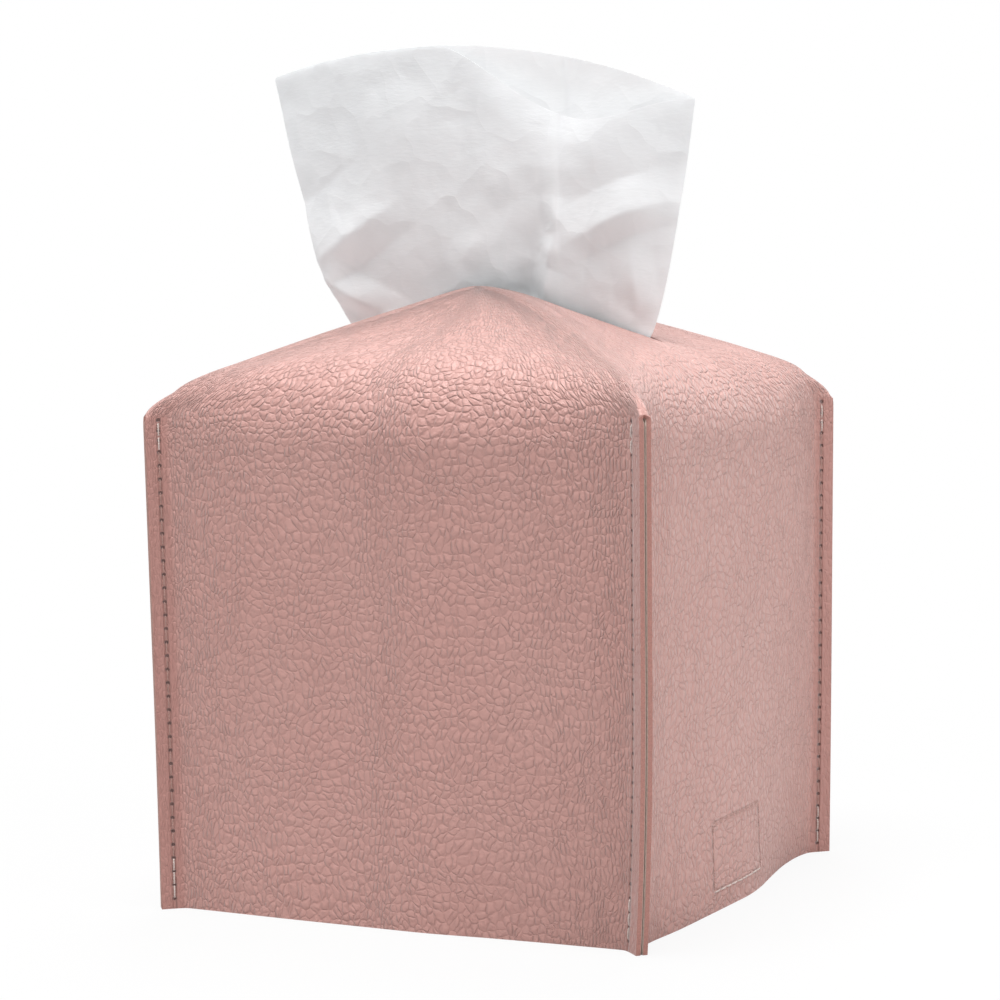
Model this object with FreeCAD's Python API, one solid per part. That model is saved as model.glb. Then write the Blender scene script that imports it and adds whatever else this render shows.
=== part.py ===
# Soft leather cover for a cube carton of tissues, with the carton, the strap that keeps it in and the
# tissue that stands in the slot. Millimetres, +Z up. The origin is on the table under the middle of the
# cover, the front wall looks towards -Y and the slot runs along X.
import FreeCAD, Part
import math
import os

Vector = FreeCAD.Vector

# Tissue carton with an oval opening over a slit film: the cover is made to fit it
CARD = 0.6
CARTON_SIDE = 111.0
CARTON_HEIGHT = 124.0
OPENING_MARGIN = 7.5
OPENING_WIDTH = 42.0
FILM = 0.2
FILM_GLUE_END = 5.0
FILM_GLUE_SIDE = 7.0
FILM_SLIT_MARGIN = 2.0
FILM_SLIT_WIDTH = 5.0

# Pile of folded tissues in the carton
PILE_ROOM = 2.4
PILE_HEADROOM = 18.2
FOLDED_SHEET = 2.0

# Leather cover, one cross-shaped piece sewn at four corners
LEATHER = 1.3
CARTON_ROOM = 7.2
WALL_LEAN = 1.3
ROOF_RISE = 31.0
ROOF_SLOPE_DEG = 19.6
FACE_ROLL = 24.0
RIDGE_ROLL = 17.0
CROWN = 2.2
FACE_ROLL_SHARES = (0.25, 0.5, 0.75, 1.0)
RIDGE_ROLL_SHARES = (0.0, 0.33, 0.67, 1.0)
SLOPE_RING_SHARE = 0.55
SLOPE_CORNER_SHARE = 0.96
CROWN_CORNER_SHARE = 0.8

# Seam allowance, two layers of leather standing out at each corner
ALLOWANCE = 4.6
ALLOWANCE_ROUND = 2.0
SEAM_GAP = 0.2
ALLOWANCE_LANDING_SHARE = 0.3

# Slot for the tissue
SLOT_MARGIN = 9.5
SLOT_WIDTH = 11.0

# Sewing thread, a needle thread and a bobbin thread that meet inside the layers
THREAD = 0.52
THREAD_SIDES = 6
STITCH = 3.4
SEAM_END = 2.6
LEG_SPREAD = 0.8
THREAD_BEND = 0.3
THREAD_GAP = 0.1

# Hook and loop fastener: the hook side on the strap, the loop side inside the left and right walls
HOOK_TAPE = 1.3
HOOK_LENGTH = 29.0
HOOK_WIDTH = 18.0
HOOK_FOOT = 4.5
HOOK_ROUND = 2.0
HOOK_STITCH_INSET = 1.5
GRIP_GAP = 0.25
PILE_SINK = 0.4
LOOP_TAPE = 1.5
LOOP_END = 3.0
LOOP_EDGE = 1.0
LOOP_ROUND = 2.5
LOOP_STITCH_INSET = 1.5

# Strap under the carton, its ends turned up
STRAP = 1.3
STRAP_EDGE = 2.0
STRAP_TIP = 2.5
STRAP_BEND = 2.6
STRAP_ROUND = 4.0

# Tissue pulled up through the slot
TISSUE = 0.8
TAIL_ROOM = 6.0
TAIL_GAP = 0.3
TISSUE_RISE = 77.7
TISSUE_SPREAD_LEFT = 28.0
TISSUE_SPREAD_RIGHT = 15.5
TISSUE_LOBE = 8.0
TISSUE_FOLD = 18.0
TISSUE_DROP_LEFT = 4.5
TISSUE_DROP_RIGHT = 17.0
RISE_SHARES = (0.0, 0.26, 0.6, 1.0)
SPREAD_SHARES = (0.0, 0.5, 0.77, 1.0)
LOBE_SHARES = (0.0, 0.1, 0.7, 1.0)
RIGHT_LOBE_SHARE = 0.45
TOP_MIDDLE_SHARE = 0.4

# One overrun serves every cut
OVERRUN = 3.0
STRAIGHT = 1e-6

# The carton's pieces follow its side and its height
CARTON_TOP = STRAP + CARTON_HEIGHT
OPENING_LENGTH = CARTON_SIDE - 2 * OPENING_MARGIN
FILM_LENGTH = OPENING_LENGTH + 2 * FILM_GLUE_END
FILM_WIDTH = OPENING_WIDTH + 2 * FILM_GLUE_SIDE
FILM_SLIT_LENGTH = OPENING_LENGTH - 2 * FILM_SLIT_MARGIN
PILE_SIDE = CARTON_SIDE - 2 * CARD - 2 * PILE_ROOM
PILE_FOOT = STRAP + 2 * CARD
PILE_COUNT = round((CARTON_HEIGHT - 3 * CARD - PILE_HEADROOM) / FOLDED_SHEET)
PILE_TOP = PILE_FOOT + PILE_COUNT * FOLDED_SHEET

# The cover follows the carton, the patches and the strap follow the hook side
FOOT_HALF = CARTON_SIDE / 2 + CARTON_ROOM
TOP_HALF = FOOT_HALF + WALL_LEAN
ROOF_PEAK = CARTON_TOP + ROOF_RISE
SLOT_LENGTH = CARTON_SIDE - 2 * SLOT_MARGIN
TAIL_WIDTH = SLOT_LENGTH - 2 * TAIL_ROOM
LOOP_LENGTH = HOOK_LENGTH + 2 * LOOP_END
LOOP_WIDTH = HOOK_WIDTH + 2 * LOOP_EDGE
LOOP_FOOT = HOOK_FOOT - LOOP_EDGE
STRAP_WIDTH = HOOK_LENGTH + 2 * STRAP_EDGE
STRAP_LEG = HOOK_FOOT + HOOK_WIDTH + STRAP_TIP

DIAGONAL = math.sqrt(2)
SLOPE = math.radians(ROOF_SLOPE_DEG)
ROLL_END = math.pi / 2 - SLOPE
UP = Vector(0, 0, 1)
QUARTERS = {"front": 0, "right": 1, "rear": 2, "left": 3}
CORNERS = {"front_right": 0, "rear_right": 1, "rear_left": 2, "front_left": 3}


def roll_point(roll, share, inset):
    """Distance from the axis and height on a roof edge: share 0 leaves the wall, 1 joins the slope."""
    centre = TOP_HALF - roll
    end = centre + roll * math.cos(ROLL_END)
    centre_height = ROOF_PEAK - end * math.tan(SLOPE) - roll * math.sin(ROLL_END)
    angle = share * ROLL_END
    radius = roll - inset
    return centre + radius * math.cos(angle), centre_height + radius * math.sin(angle)


def slope_height(distance, inset):
    """Height of the roof's slope at a distance from the axis."""
    return ROOF_PEAK - inset / math.cos(SLOPE) - distance * math.tan(SLOPE)


WALL_TOP = roll_point(FACE_ROLL, 0, 0)[1]
SEAM_TOP = roll_point(RIDGE_ROLL, 0, 0)[1]
FACE_END = roll_point(FACE_ROLL, 1, 0)[0]
SEAM_HALF = LEATHER + SEAM_GAP / 2


def half_at(height):
    """Half the distance between opposite walls, outside, at a height."""
    return FOOT_HALF + (TOP_HALF - FOOT_HALF) * height / SEAM_TOP


STRAP_HALF = half_at(LOOP_FOOT) - LEATHER - LOOP_TAPE - GRIP_GAP - HOOK_TAPE
TISSUE_NECK = slope_height(SLOT_LENGTH / 2, 0)


def turned(point, quarter):
    """The point turned about the vertical axis by quarter turns, front to right."""
    steps = {
        0: (point.x, point.y),
        1: (-point.y, point.x),
        2: (-point.x, -point.y),
        3: (point.y, -point.x),
    }
    return Vector(*steps[quarter], point.z)


def curve(start, middle, end):
    """An arc through three points, or the straight line where they are in line."""
    bow = (middle - start).cross(end - start).Length
    if bow < STRAIGHT * (end - start).Length:
        return Part.LineSegment(start, end).toShape()
    return Part.Arc(start, middle, end).toShape()


def parallel(edge, direction):
    """Whether an edge starts along a direction."""
    return edge.tangentAt(edge.FirstParameter).cross(direction).Length < STRAIGHT


def polygon(points):
    """Closed wire through the points."""
    return Part.makePolygon(points + points[:1])


def slab(wire, depth):
    """Solid made by moving a closed flat wire along a vector."""
    return Part.Face(wire).extrude(depth)


def ring(corner, corner_height, middle, middle_height):
    """Closed wire round the cover, with its corners on the diagonals."""
    edges = []
    for quarter in QUARTERS.values():
        start = turned(Vector(-corner, -corner, corner_height), quarter)
        peak = turned(Vector(0, -middle, middle_height), quarter)
        end = turned(Vector(corner, -corner, corner_height), quarter)
        edges.append(curve(start, peak, end))
    return Part.Wire(edges)


def square_ring(half, height):
    return ring(half, height, half, height)


def cover_body(inset, foot):
    """The cover's filled shape, walls and roof, an inset inside its outer face."""
    foot_ring = square_ring(half_at(foot) - inset, foot)
    wall_ring = square_ring(half_at(WALL_TOP) - inset, WALL_TOP)
    rings = [wall_ring]
    for face_share, ridge_share in zip(FACE_ROLL_SHARES, RIDGE_ROLL_SHARES):
        middle, middle_height = roll_point(FACE_ROLL, face_share, inset)
        corner, corner_height = roll_point(RIDGE_ROLL, ridge_share, inset)
        rings.append(ring(corner, corner_height, middle, middle_height))
    slope_rings = ((SLOPE_RING_SHARE * FACE_END, SLOPE_CORNER_SHARE), (CROWN, CROWN_CORNER_SHARE))
    for middle, corner_share in slope_rings:
        height = slope_height(middle, inset)
        rings.append(ring(middle * corner_share, height, middle, height))
    walls = Part.makeLoft([foot_ring, wall_ring], True, True)
    return walls.fuse(Part.makeLoft(rings, True, False))


def corner_point(distance, height, across, corner):
    """Point by its distance out along a corner's diagonal, its height and its distance across it."""
    x = (distance + across) / DIAGONAL
    y = (across - distance) / DIAGONAL
    return turned(Vector(x, y, height), corner)


def seam_allowance(corner):
    """The two layers of one corner as a block that follows the seam up to the roof's ridge."""
    foot_seam = DIAGONAL * FOOT_HALF
    top_seam = DIAGONAL * TOP_HALF
    root = (DIAGONAL * LEATHER + SEAM_HALF) / 2
    landing, landing_height = roll_point(RIDGE_ROLL, ALLOWANCE_LANDING_SHARE, 0)
    outer = foot_seam + ALLOWANCE
    arc_share = 1 - math.cos(math.pi / 4)
    across = -SEAM_HALF

    def at(distance, height):
        return corner_point(distance, height, across, corner)

    round_start = at(outer - ALLOWANCE_ROUND, 0)
    round_middle = at(outer - ALLOWANCE_ROUND * arc_share, ALLOWANCE_ROUND * arc_share)
    round_end = at(outer, ALLOWANCE_ROUND)
    rest = [
        round_end,
        at(top_seam + ALLOWANCE, SEAM_TOP),
        at(DIAGONAL * landing, landing_height),
        at(top_seam - root, SEAM_TOP),
        at(foot_seam - root, 0),
        round_start,
    ]
    edges = [Part.Arc(round_start, round_middle, round_end).toShape()]
    edges += [Part.LineSegment(a, b).toShape() for a, b in zip(rest, rest[1:])]
    depth = corner_point(0, 0, 2 * SEAM_HALF, corner)
    return slab(Part.Wire(edges), depth)


def seam_slit(corner):
    """The slit between the two layers of one corner, open inside and outside."""
    inner = DIAGONAL * (FOOT_HALF - LEATHER) - OVERRUN
    outer = DIAGONAL * TOP_HALF + ALLOWANCE + OVERRUN
    top = SEAM_TOP - LEATHER
    outline = [(inner, -OVERRUN), (outer, -OVERRUN), (outer, top), (inner, top)]
    wire = polygon([corner_point(out, height, -SEAM_GAP / 2, corner) for out, height in outline])
    return slab(wire, corner_point(0, 0, SEAM_GAP, corner))


def lens(length, width, foot, top):
    """Upright solid of a pointed slot, two arcs along X."""
    left = Vector(-length / 2, 0, foot)
    right = Vector(length / 2, 0, foot)
    front = Part.Arc(left, Vector(0, -width / 2, foot), right).toShape()
    back = Part.Arc(right, Vector(0, width / 2, foot), left).toShape()
    return slab(Part.Wire([front, back]), UP * (top - foot))


def leather_shell():
    shell = cover_body(0, 0).cut(cover_body(LEATHER, -OVERRUN))
    shell = shell.fuse([seam_allowance(corner) for corner in CORNERS.values()])
    shell = shell.cut([seam_slit(corner) for corner in CORNERS.values()])
    return shell.cut(lens(SLOT_LENGTH, SLOT_WIDTH, WALL_TOP, ROOF_PEAK + OVERRUN))


def thread_section(centre, normal, along):
    """Six-sided section of a thread, square to the normal."""
    across = normal.cross(along)
    corners = []
    for side in range(THREAD_SIDES):
        angle = side * 2 * math.pi / THREAD_SIDES
        corners.append(centre + (along * math.cos(angle) + across * math.sin(angle)) * (THREAD / 2))
    return polygon(corners)


def thread(holes, normal, layers):
    """One unbroken thread: bars on a face from hole to hole, and at each hole a loop into the layers."""
    spread = LEG_SPREAD / 2
    depth = layers / 2 - spread - THREAD / 2 - THREAD_GAP
    bow = THREAD_BEND * math.cos(math.pi / 4)
    edges = []
    last_leg = None
    for hole, following in zip(holes, holes[1:]):
        along = (following - hole).normalize()
        rise = hole + along * spread
        fall = following - along * spread
        low_rise = rise - normal * depth
        low_fall = fall - normal * depth
        if last_leg is not None:
            middle = (last_leg + low_rise) / 2
            turn = (low_rise - last_leg).Length / 2
            edges.append(Part.Arc(last_leg, middle - normal * turn, low_rise).toShape())
        else:
            start = low_rise
        bend_up = rise + (along - normal) * THREAD_BEND
        bend_down = fall - (along + normal) * THREAD_BEND
        up_end = rise - normal * THREAD_BEND
        bar_start = rise + along * THREAD_BEND
        bar_end = fall - along * THREAD_BEND
        down_start = fall - normal * THREAD_BEND
        edges.append(Part.LineSegment(low_rise, up_end).toShape())
        edges.append(Part.Arc(up_end, bend_up + (normal - along) * bow, bar_start).toShape())
        edges.append(Part.LineSegment(bar_start, bar_end).toShape())
        edges.append(Part.Arc(bar_end, bend_down + (normal + along) * bow, down_start).toShape())
        edges.append(Part.LineSegment(down_start, low_fall).toShape())
        last_leg = low_fall
    return Part.Wire(edges).makePipeShell([thread_section(start, normal, along)], True, False)


def spaced(start, end):
    """Stitch holes from one point to another, both included."""
    count = max(1, round((end - start).Length / STITCH))
    return [start + (end - start) * (step / count) for step in range(count + 1)]


def seam_thread(corner):
    """Needle and bobbin threads of one corner seam."""
    threads = []
    for side in (1, -1):
        ends = []
        for height in (SEAM_END, SEAM_TOP - SEAM_END):
            ends.append(corner_point(DIAGONAL * half_at(height), height, side * SEAM_HALF, corner))
        normal = corner_point(0, 0, side, corner)
        threads.append(thread(spaced(*ends), normal, 2 * LEATHER))
    return Part.makeCompound(threads)


def wall_place(quarter):
    """Placement of a wall's own axes: X along the wall, Y up it and Z out of it, from its outer foot."""
    foot = turned(Vector(0, -FOOT_HALF, 0), quarter)
    along = turned(Vector(1, 0, 0), quarter)
    up = turned(Vector(0, -half_at(SEAM_TOP), SEAM_TOP), quarter) - foot
    up.normalize()
    return FreeCAD.Placement(foot, FreeCAD.Rotation(along, up, along.cross(up), "XYZ"))


def rounded_plate(length, width, foot, back, thickness, radius):
    """Plate in a wall's axes, centred along it, its corners rounded."""
    half = length / 2
    blank = Part.makeBox(length, width, thickness, Vector(-half, foot, back))
    corners = [edge for edge in blank.Edges if parallel(edge, UP)]
    return blank.makeFillet(radius, corners)


def patch_threads(length, width, foot, inset, front, back):
    """Needle and bobbin threads round a patch, in a wall's axes, sunk into the pile on its gripping face."""
    half = length / 2 - inset
    low = foot + inset
    high = foot + width - inset
    threads = []
    for face, normal in ((front, UP), (back, -UP)):
        corners = [Vector(-half, low, face), Vector(half, low, face)]
        corners += [Vector(half, high, face), Vector(-half, high, face)]
        holes = corners[:1]
        for start, end in zip(corners, corners[1:] + corners[:1]):
            holes += spaced(start, end)[1:]
        threads.append(thread(holes, normal, front - back))
    return Part.makeCompound(threads)


def placed(shape, placement):
    return shape.transformed(placement.toMatrix())


def loop_patch(side):
    plate = rounded_plate(LOOP_LENGTH, LOOP_WIDTH, LOOP_FOOT, -LEATHER - LOOP_TAPE, LOOP_TAPE, LOOP_ROUND)
    return placed(plate, wall_place(QUARTERS[side]))


def loop_thread(side):
    pile = PILE_SINK - LEATHER - LOOP_TAPE
    threads = patch_threads(LOOP_LENGTH, LOOP_WIDTH, LOOP_FOOT, LOOP_STITCH_INSET, 0, pile)
    return placed(threads, wall_place(QUARTERS[side]))


def strap_place(side):
    """Placement of a strap end's own axes: X along the wall, Y up and Z out of its outer face."""
    quarter = QUARTERS[side]
    along = turned(Vector(1, 0, 0), quarter)
    foot = turned(Vector(0, -STRAP_HALF, 0), quarter)
    return FreeCAD.Placement(foot, FreeCAD.Rotation(along, UP, along.cross(UP), "XYZ"))


def hook_patch(side):
    plate = rounded_plate(HOOK_LENGTH, HOOK_WIDTH, HOOK_FOOT, 0, HOOK_TAPE, HOOK_ROUND)
    return placed(plate, strap_place(side))


def hook_thread(side):
    pile = HOOK_TAPE - PILE_SINK
    threads = patch_threads(HOOK_LENGTH, HOOK_WIDTH, HOOK_FOOT, HOOK_STITCH_INSET, pile, -STRAP)
    return placed(threads, strap_place(side))


def strap_outline(inset, y):
    """One face of the strap from its left end to its right end, as edges in the plane at y."""
    side = STRAP_HALF - inset
    bend = STRAP_BEND - inset
    bow = bend * math.cos(math.pi / 4)
    centre = STRAP_HALF - STRAP_BEND
    points = [
        Vector(-side, y, STRAP_LEG),
        Vector(-side, y, STRAP_BEND),
        Vector(-centre - bow, y, STRAP_BEND - bow),
        Vector(-centre, y, inset),
        Vector(centre, y, inset),
        Vector(centre + bow, y, STRAP_BEND - bow),
        Vector(side, y, STRAP_BEND),
        Vector(side, y, STRAP_LEG),
    ]
    edges = [
        Part.LineSegment(points[0], points[1]).toShape(),
        Part.Arc(*points[1:4]).toShape(),
        Part.LineSegment(points[3], points[4]).toShape(),
        Part.Arc(*points[4:7]).toShape(),
        Part.LineSegment(points[6], points[7]).toShape(),
    ]
    return edges, points[0], points[-1]


def bottom_strap():
    """Leather strap under the carton, its ends turned up beside it and rounded at their corners."""
    y = -STRAP_WIDTH / 2
    outer, outer_left, outer_right = strap_outline(0, y)
    inner, inner_left, inner_right = strap_outline(STRAP, y)
    left_end = Part.LineSegment(outer_left, inner_left).toShape()
    right_end = Part.LineSegment(outer_right, inner_right).toShape()
    wire = Part.Wire(Part.__sortEdges__(outer + inner + [left_end, right_end]))
    strap = slab(wire, Vector(0, STRAP_WIDTH, 0))
    crosswise = [edge for edge in strap.Edges if parallel(edge, Vector(1, 0, 0))]
    tops = [edge for edge in crosswise if edge.CenterOfMass.z > STRAP_LEG - STRAP]
    return strap.makeFillet(STRAP_ROUND, tops)


def upright_box(length, width, foot, top):
    return Part.makeBox(length, width, top - foot, Vector(-length / 2, -width / 2, foot))


def oval(length, width, foot, top):
    """Upright solid of an oval."""
    ellipse = Part.Ellipse(Vector(0, 0, foot), length / 2, width / 2).toShape()
    return slab(Part.Wire(ellipse), UP * (top - foot))


def tissue_carton():
    """Folded card box, its floor two flaps thick, with an oval opening in its top."""
    inside = CARTON_SIDE - 2 * CARD
    carton = upright_box(CARTON_SIDE, CARTON_SIDE, STRAP, CARTON_TOP)
    carton = carton.cut(upright_box(inside, inside, PILE_FOOT, CARTON_TOP - CARD))
    return carton.cut(oval(OPENING_LENGTH, OPENING_WIDTH, PILE_TOP, CARTON_TOP + OVERRUN))


def slit_film():
    """Film glued under the carton's top, with the slit the tissue comes through."""
    top = CARTON_TOP - CARD
    film = upright_box(FILM_LENGTH, FILM_WIDTH, top - FILM, top)
    return film.cut(lens(FILM_SLIT_LENGTH, FILM_SLIT_WIDTH, PILE_TOP, CARTON_TOP))


def tissue_pile():
    """Folded tissues lying on each other."""
    sheets = []
    for index in range(PILE_COUNT):
        foot = PILE_FOOT + index * FOLDED_SHEET
        sheets.append(upright_box(PILE_SIDE, PILE_SIDE, foot, foot + FOLDED_SHEET))
    return Part.makeCompound(sheets)


def tissue_sides(spread_share):
    """Left and right edges of the tissue where it has spread by a share."""
    left = -TAIL_WIDTH / 2 - TISSUE_SPREAD_LEFT * spread_share
    right = TAIL_WIDTH / 2 + TISSUE_SPREAD_RIGHT * spread_share
    return left, right


def tissue_section(height, spread_share, lobe_share):
    """Closed strip of the tissue at a height: two lobes towards the front that meet in a fold."""
    left, right = tissue_sides(spread_share)
    lobe = TISSUE_LOBE * lobe_share
    half = TISSUE / 2

    def face(y):
        ends = [Vector(x, y, height) for x in (left, TISSUE_FOLD, right)]
        left_peak = Vector((left + TISSUE_FOLD) / 2, y - lobe, height)
        right_peak = Vector((TISSUE_FOLD + right) / 2, y - lobe * RIGHT_LOBE_SHARE, height)
        return [curve(ends[0], left_peak, ends[1]), curve(ends[1], right_peak, ends[2])]

    edges = face(-half) + face(half)
    for x in (left, right):
        edges.append(Part.LineSegment(Vector(x, -half, height), Vector(x, half, height)).toShape())
    return Part.Wire(Part.__sortEdges__(edges))


def above_tissue(top):
    """The space above the tissue's arched upper edge."""
    left, right = tissue_sides(1)
    back = TISSUE_LOBE + OVERRUN
    low_left = Vector(left, -back, top - TISSUE_DROP_LEFT)
    low_right = Vector(right, -back, top - TISSUE_DROP_RIGHT)
    peak = Vector(left + (right - left) * TOP_MIDDLE_SHARE, -back, top)
    side = Vector(OVERRUN, 0, 0)
    ceiling = Vector(0, 0, top + OVERRUN)
    ends = [low_right, low_right + side]
    ends.append(Vector(right, -back, 0) + side + ceiling)
    ends.append(Vector(left, -back, 0) - side + ceiling)
    ends += [low_left - side, low_left]
    edges = [Part.Arc(low_left, peak, low_right).toShape()]
    edges += [Part.LineSegment(start, end).toShape() for start, end in zip(ends, ends[1:])]
    return slab(Part.Wire(edges), Vector(0, 2 * back, 0))


def pulled_tissue():
    """Tissue standing in the slot: a flat tail inside, and above it a fan with two soft lobes."""
    sections = []
    for rise_share, spread_share, lobe_share in zip(RISE_SHARES, SPREAD_SHARES, LOBE_SHARES):
        height = TISSUE_NECK + TISSUE_RISE * rise_share
        sections.append(tissue_section(height, spread_share, lobe_share))
    fan = Part.makeLoft(sections, True, False)
    tail = slab(sections[0], UP * (PILE_TOP + TAIL_GAP - TISSUE_NECK))
    return fan.fuse(tail).cut(above_tissue(TISSUE_NECK + TISSUE_RISE))


NODES = {
    "leather_shell": leather_shell(),
    "bottom_strap": bottom_strap(),
    "tissue_carton": tissue_carton(),
    "slit_film": slit_film(),
    "tissue_pile": tissue_pile(),
    "pulled_tissue": pulled_tissue(),
}
for corner_name, corner_index in CORNERS.items():
    NODES[corner_name + "_seam_thread"] = seam_thread(corner_index)
for wall_name in ("left", "right"):
    NODES[wall_name + "_loop_patch"] = loop_patch(wall_name)
    NODES[wall_name + "_loop_thread"] = loop_thread(wall_name)
    NODES[wall_name + "_hook_patch"] = hook_patch(wall_name)
    NODES[wall_name + "_hook_thread"] = hook_thread(wall_name)

os.makedirs("parts", exist_ok=True)
for node, shape in NODES.items():
    shape.exportStep(f"parts/{node}.step")
    print(f"{node}: {len(shape.Solids)} solids, {shape.Volume:.1f} mm3, valid {shape.isValid()}")
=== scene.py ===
# Looks of a soft leather cover for a cube carton of tissues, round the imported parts.
import math
import bmesh
import bpy
import numpy as np
from mathutils import Matrix, Vector


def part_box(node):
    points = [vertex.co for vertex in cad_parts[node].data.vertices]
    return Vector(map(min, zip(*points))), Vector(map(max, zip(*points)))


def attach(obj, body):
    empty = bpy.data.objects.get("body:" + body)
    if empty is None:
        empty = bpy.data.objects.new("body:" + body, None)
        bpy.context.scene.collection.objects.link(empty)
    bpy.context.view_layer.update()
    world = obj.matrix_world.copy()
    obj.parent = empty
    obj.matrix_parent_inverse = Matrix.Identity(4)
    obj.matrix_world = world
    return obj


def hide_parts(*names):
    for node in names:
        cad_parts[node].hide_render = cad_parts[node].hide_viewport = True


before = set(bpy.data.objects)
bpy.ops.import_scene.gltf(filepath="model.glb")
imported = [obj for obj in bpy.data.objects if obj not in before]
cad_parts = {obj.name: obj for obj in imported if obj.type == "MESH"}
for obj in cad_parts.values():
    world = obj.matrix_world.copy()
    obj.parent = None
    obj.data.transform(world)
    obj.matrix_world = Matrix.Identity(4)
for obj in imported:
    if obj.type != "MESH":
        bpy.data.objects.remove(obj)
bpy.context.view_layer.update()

# Lengths are millimetres in the parts' frame, and MM turns them into Blender's metres
MM = 0.001
ROOT2 = math.sqrt(2)
TINY = 1e-6


def box_mm(node):
    """Lowest and highest corner of a CAD node, in millimetres."""
    low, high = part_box(node)
    return np.array(low) / MM, np.array(high) / MM


CARTON_LOW, CARTON_HIGH = box_mm("tissue_carton")
PILE_LOW, PILE_HIGH = box_mm("tissue_pile")
STRAP_LOW, STRAP_HIGH = box_mm("bottom_strap")

# Leather cover
CARTON_ROOM = 7.2
WALL_LEAN = 1.3
ROOF_RISE = 31.0
SLOPE = math.radians(19.6)
FACE_ROLL = 24.0
RIDGE_ROLL = 17.0
RIDGE_DELAY_SHARE = 0.25
FOOT_HALF = CARTON_HIGH[0] + CARTON_ROOM
TOP_HALF = FOOT_HALF + WALL_LEAN
ROOF_PEAK = CARTON_HIGH[2] + ROOF_RISE
ROLL_END = math.pi / 2 - SLOPE
SKIN = 1.12
BACKING = 0.18
BACKING_RECESS_SHARE = 0.03
LEATHER = SKIN + BACKING
SEAM_GAP = 0.2
SEAM_HALF = LEATHER + SEAM_GAP / 2
ALLOWANCE = 4.6
FLANGE = ALLOWANCE + SEAM_HALF
CREASE_ROUND = 1.0
FOLD_OPENS_OVER = 7.0
FOLD_RISE = 1.8
FOLD_MARGIN = 0.01
CREASE_LEAST_SHARE = 0.5
LEAST_SOFT = 1e-3
RIDGE_SOFT_LOW = 0.6
RIDGE_SOFT_HIGH = 4.5
RIDGE_SOFT_SHARE = 0.3
RIDGE_SOFTENS_OVER = 34.0
CROWN_ROUND = 5.5
ROOF_BLEND_RATE = 3.0
PEAK_SHIFT = -5.0
PEAK_SHIFT_REACH = 30.0
SLOT_HALF = 46.0
SLOT_HALF_WIDTH = 5.2
SLOT_REACH = 25.0
PANEL_COLUMNS = 46
FLANGE_COLUMNS = 15
WALL_ROWS = 70
ROLL_ROWS = 30
SLOPE_ROWS = 34
FOLD_ROWS, FOLD_STEP = 8, 0.7
COLUMN_CROWDING = 1.25
MERGE_DISTANCE, LEAST_EDGE = 0.012, 0.004
CRISP_ANGLE = 60
LINED = {"material_offset": 2, "material_offset_rim": 1}

# Outward waves of the hem, as places along a wall and how far it stands out there
HEM_FRONT = ((-70, 0.6), (-61, 1.2), (-30, 1.5), (8, 1.2), (23, -0.5), (40, -1.7), (54, -2.3),
             (64, -2.9), (70, -2.9))
HEM_RIGHT = ((-70, -2.9), (-60, -2.7), (-49, -2.2), (-36, -0.6), (-14, 0.9), (6, 2.2), (16, 1.6), (30, -0.3),
             (42, -1.7), (54, -2.0), (63, -0.6), (70, 0.2))
HEM_REAR = ((-70, -2.0), (-54, -1.6), (-24, 0.8), (10, 1.2), (38, -0.6), (56, 0.0), (70, 0.8))
HEM_LEFT = ((-70, 0.2), (-52, -1.2), (-20, 0.4), (6, 1.0), (30, 0.6), (50, -1.0), (70, -1.4))
HEM_FADE = 62.0
HEM_WALL_FROM, HEM_WALL_FADE = 42.0, 14.0

# Billows of the flat walls, and the pressed crease down the front one
PANEL_FROM, PANEL_FROM_FADE, PANEL_TO, PANEL_TO_FADE = 50.0, 8.0, 55.0, 10.0
BILLOW = 0.35
BILLOW_ALONG, BILLOW_UP = 19.0, 23.0
BILLOW_CROSS, BILLOW_CROSS_UP, BILLOW_CROSS_SHARE = 17.0, 31.0, 0.6
BILLOW_FOOT_FADE, BILLOW_ROOF_REACH, BILLOW_ROOF_FADE = 30.0, 10.0, 20.0
FRONT_CREASE_X = -2.5
FRONT_CREASE_SWAYS = ((1.2, 21.0), (0.5, 7.0))
FRONT_CREASE_LOW, FRONT_CREASE_LOW_FADE = 4.0, 20.0
FRONT_CREASE_HIGH, FRONT_CREASE_HIGH_FADE = 124.0, 30.0
FRONT_CREASE_DEPTH = 0.45
FRONT_CREASE_WIDTH = 1.5
FRONT_CREASE_CROWDING = 5.0
FRONT_CREASE_REACH = 6.0

# How far the sewn corners stand from a true square, and how far the ridges stand from the even roll
CORNER_SHIFTS = ((-1, -1, 1.0, 0.5), (1, -1, 1.95, 1.0), (1, 1, -1.25, -0.65))
RIDGE_TRIM = ((0, 1.0), (14, 1.0), (24, 0.7), (34, 0.0), (44, -1.0), (54, -2.1), (58, -1.85), (61, -0.65),
              (64, 0.8), (72, 0.2))
RIDGE_TRIM_FAR = ((0, 0.1), (34, 0.0), (46, -0.3), (54, -0.8), (57, -0.6), (60, 0.5), (63, 1.7),
                  (66, 2.1), (72, 1.6))
RIDGE_TRIM_WIDTH = 16.0
CROWN_TRIM_REACH = 34.0
TABLE_STEPS, TABLE_BLUR = 141, 17
NORMAL_STEP_UP, NORMAL_STEP_ACROSS = 0.02, 0.004


def roll_foot(roll):
    """Height at which a roof edge of this radius leaves the wall."""
    end = TOP_HALF - roll + roll * math.cos(ROLL_END)
    return ROOF_PEAK - end * math.tan(SLOPE) - roll * math.sin(ROLL_END)


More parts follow.
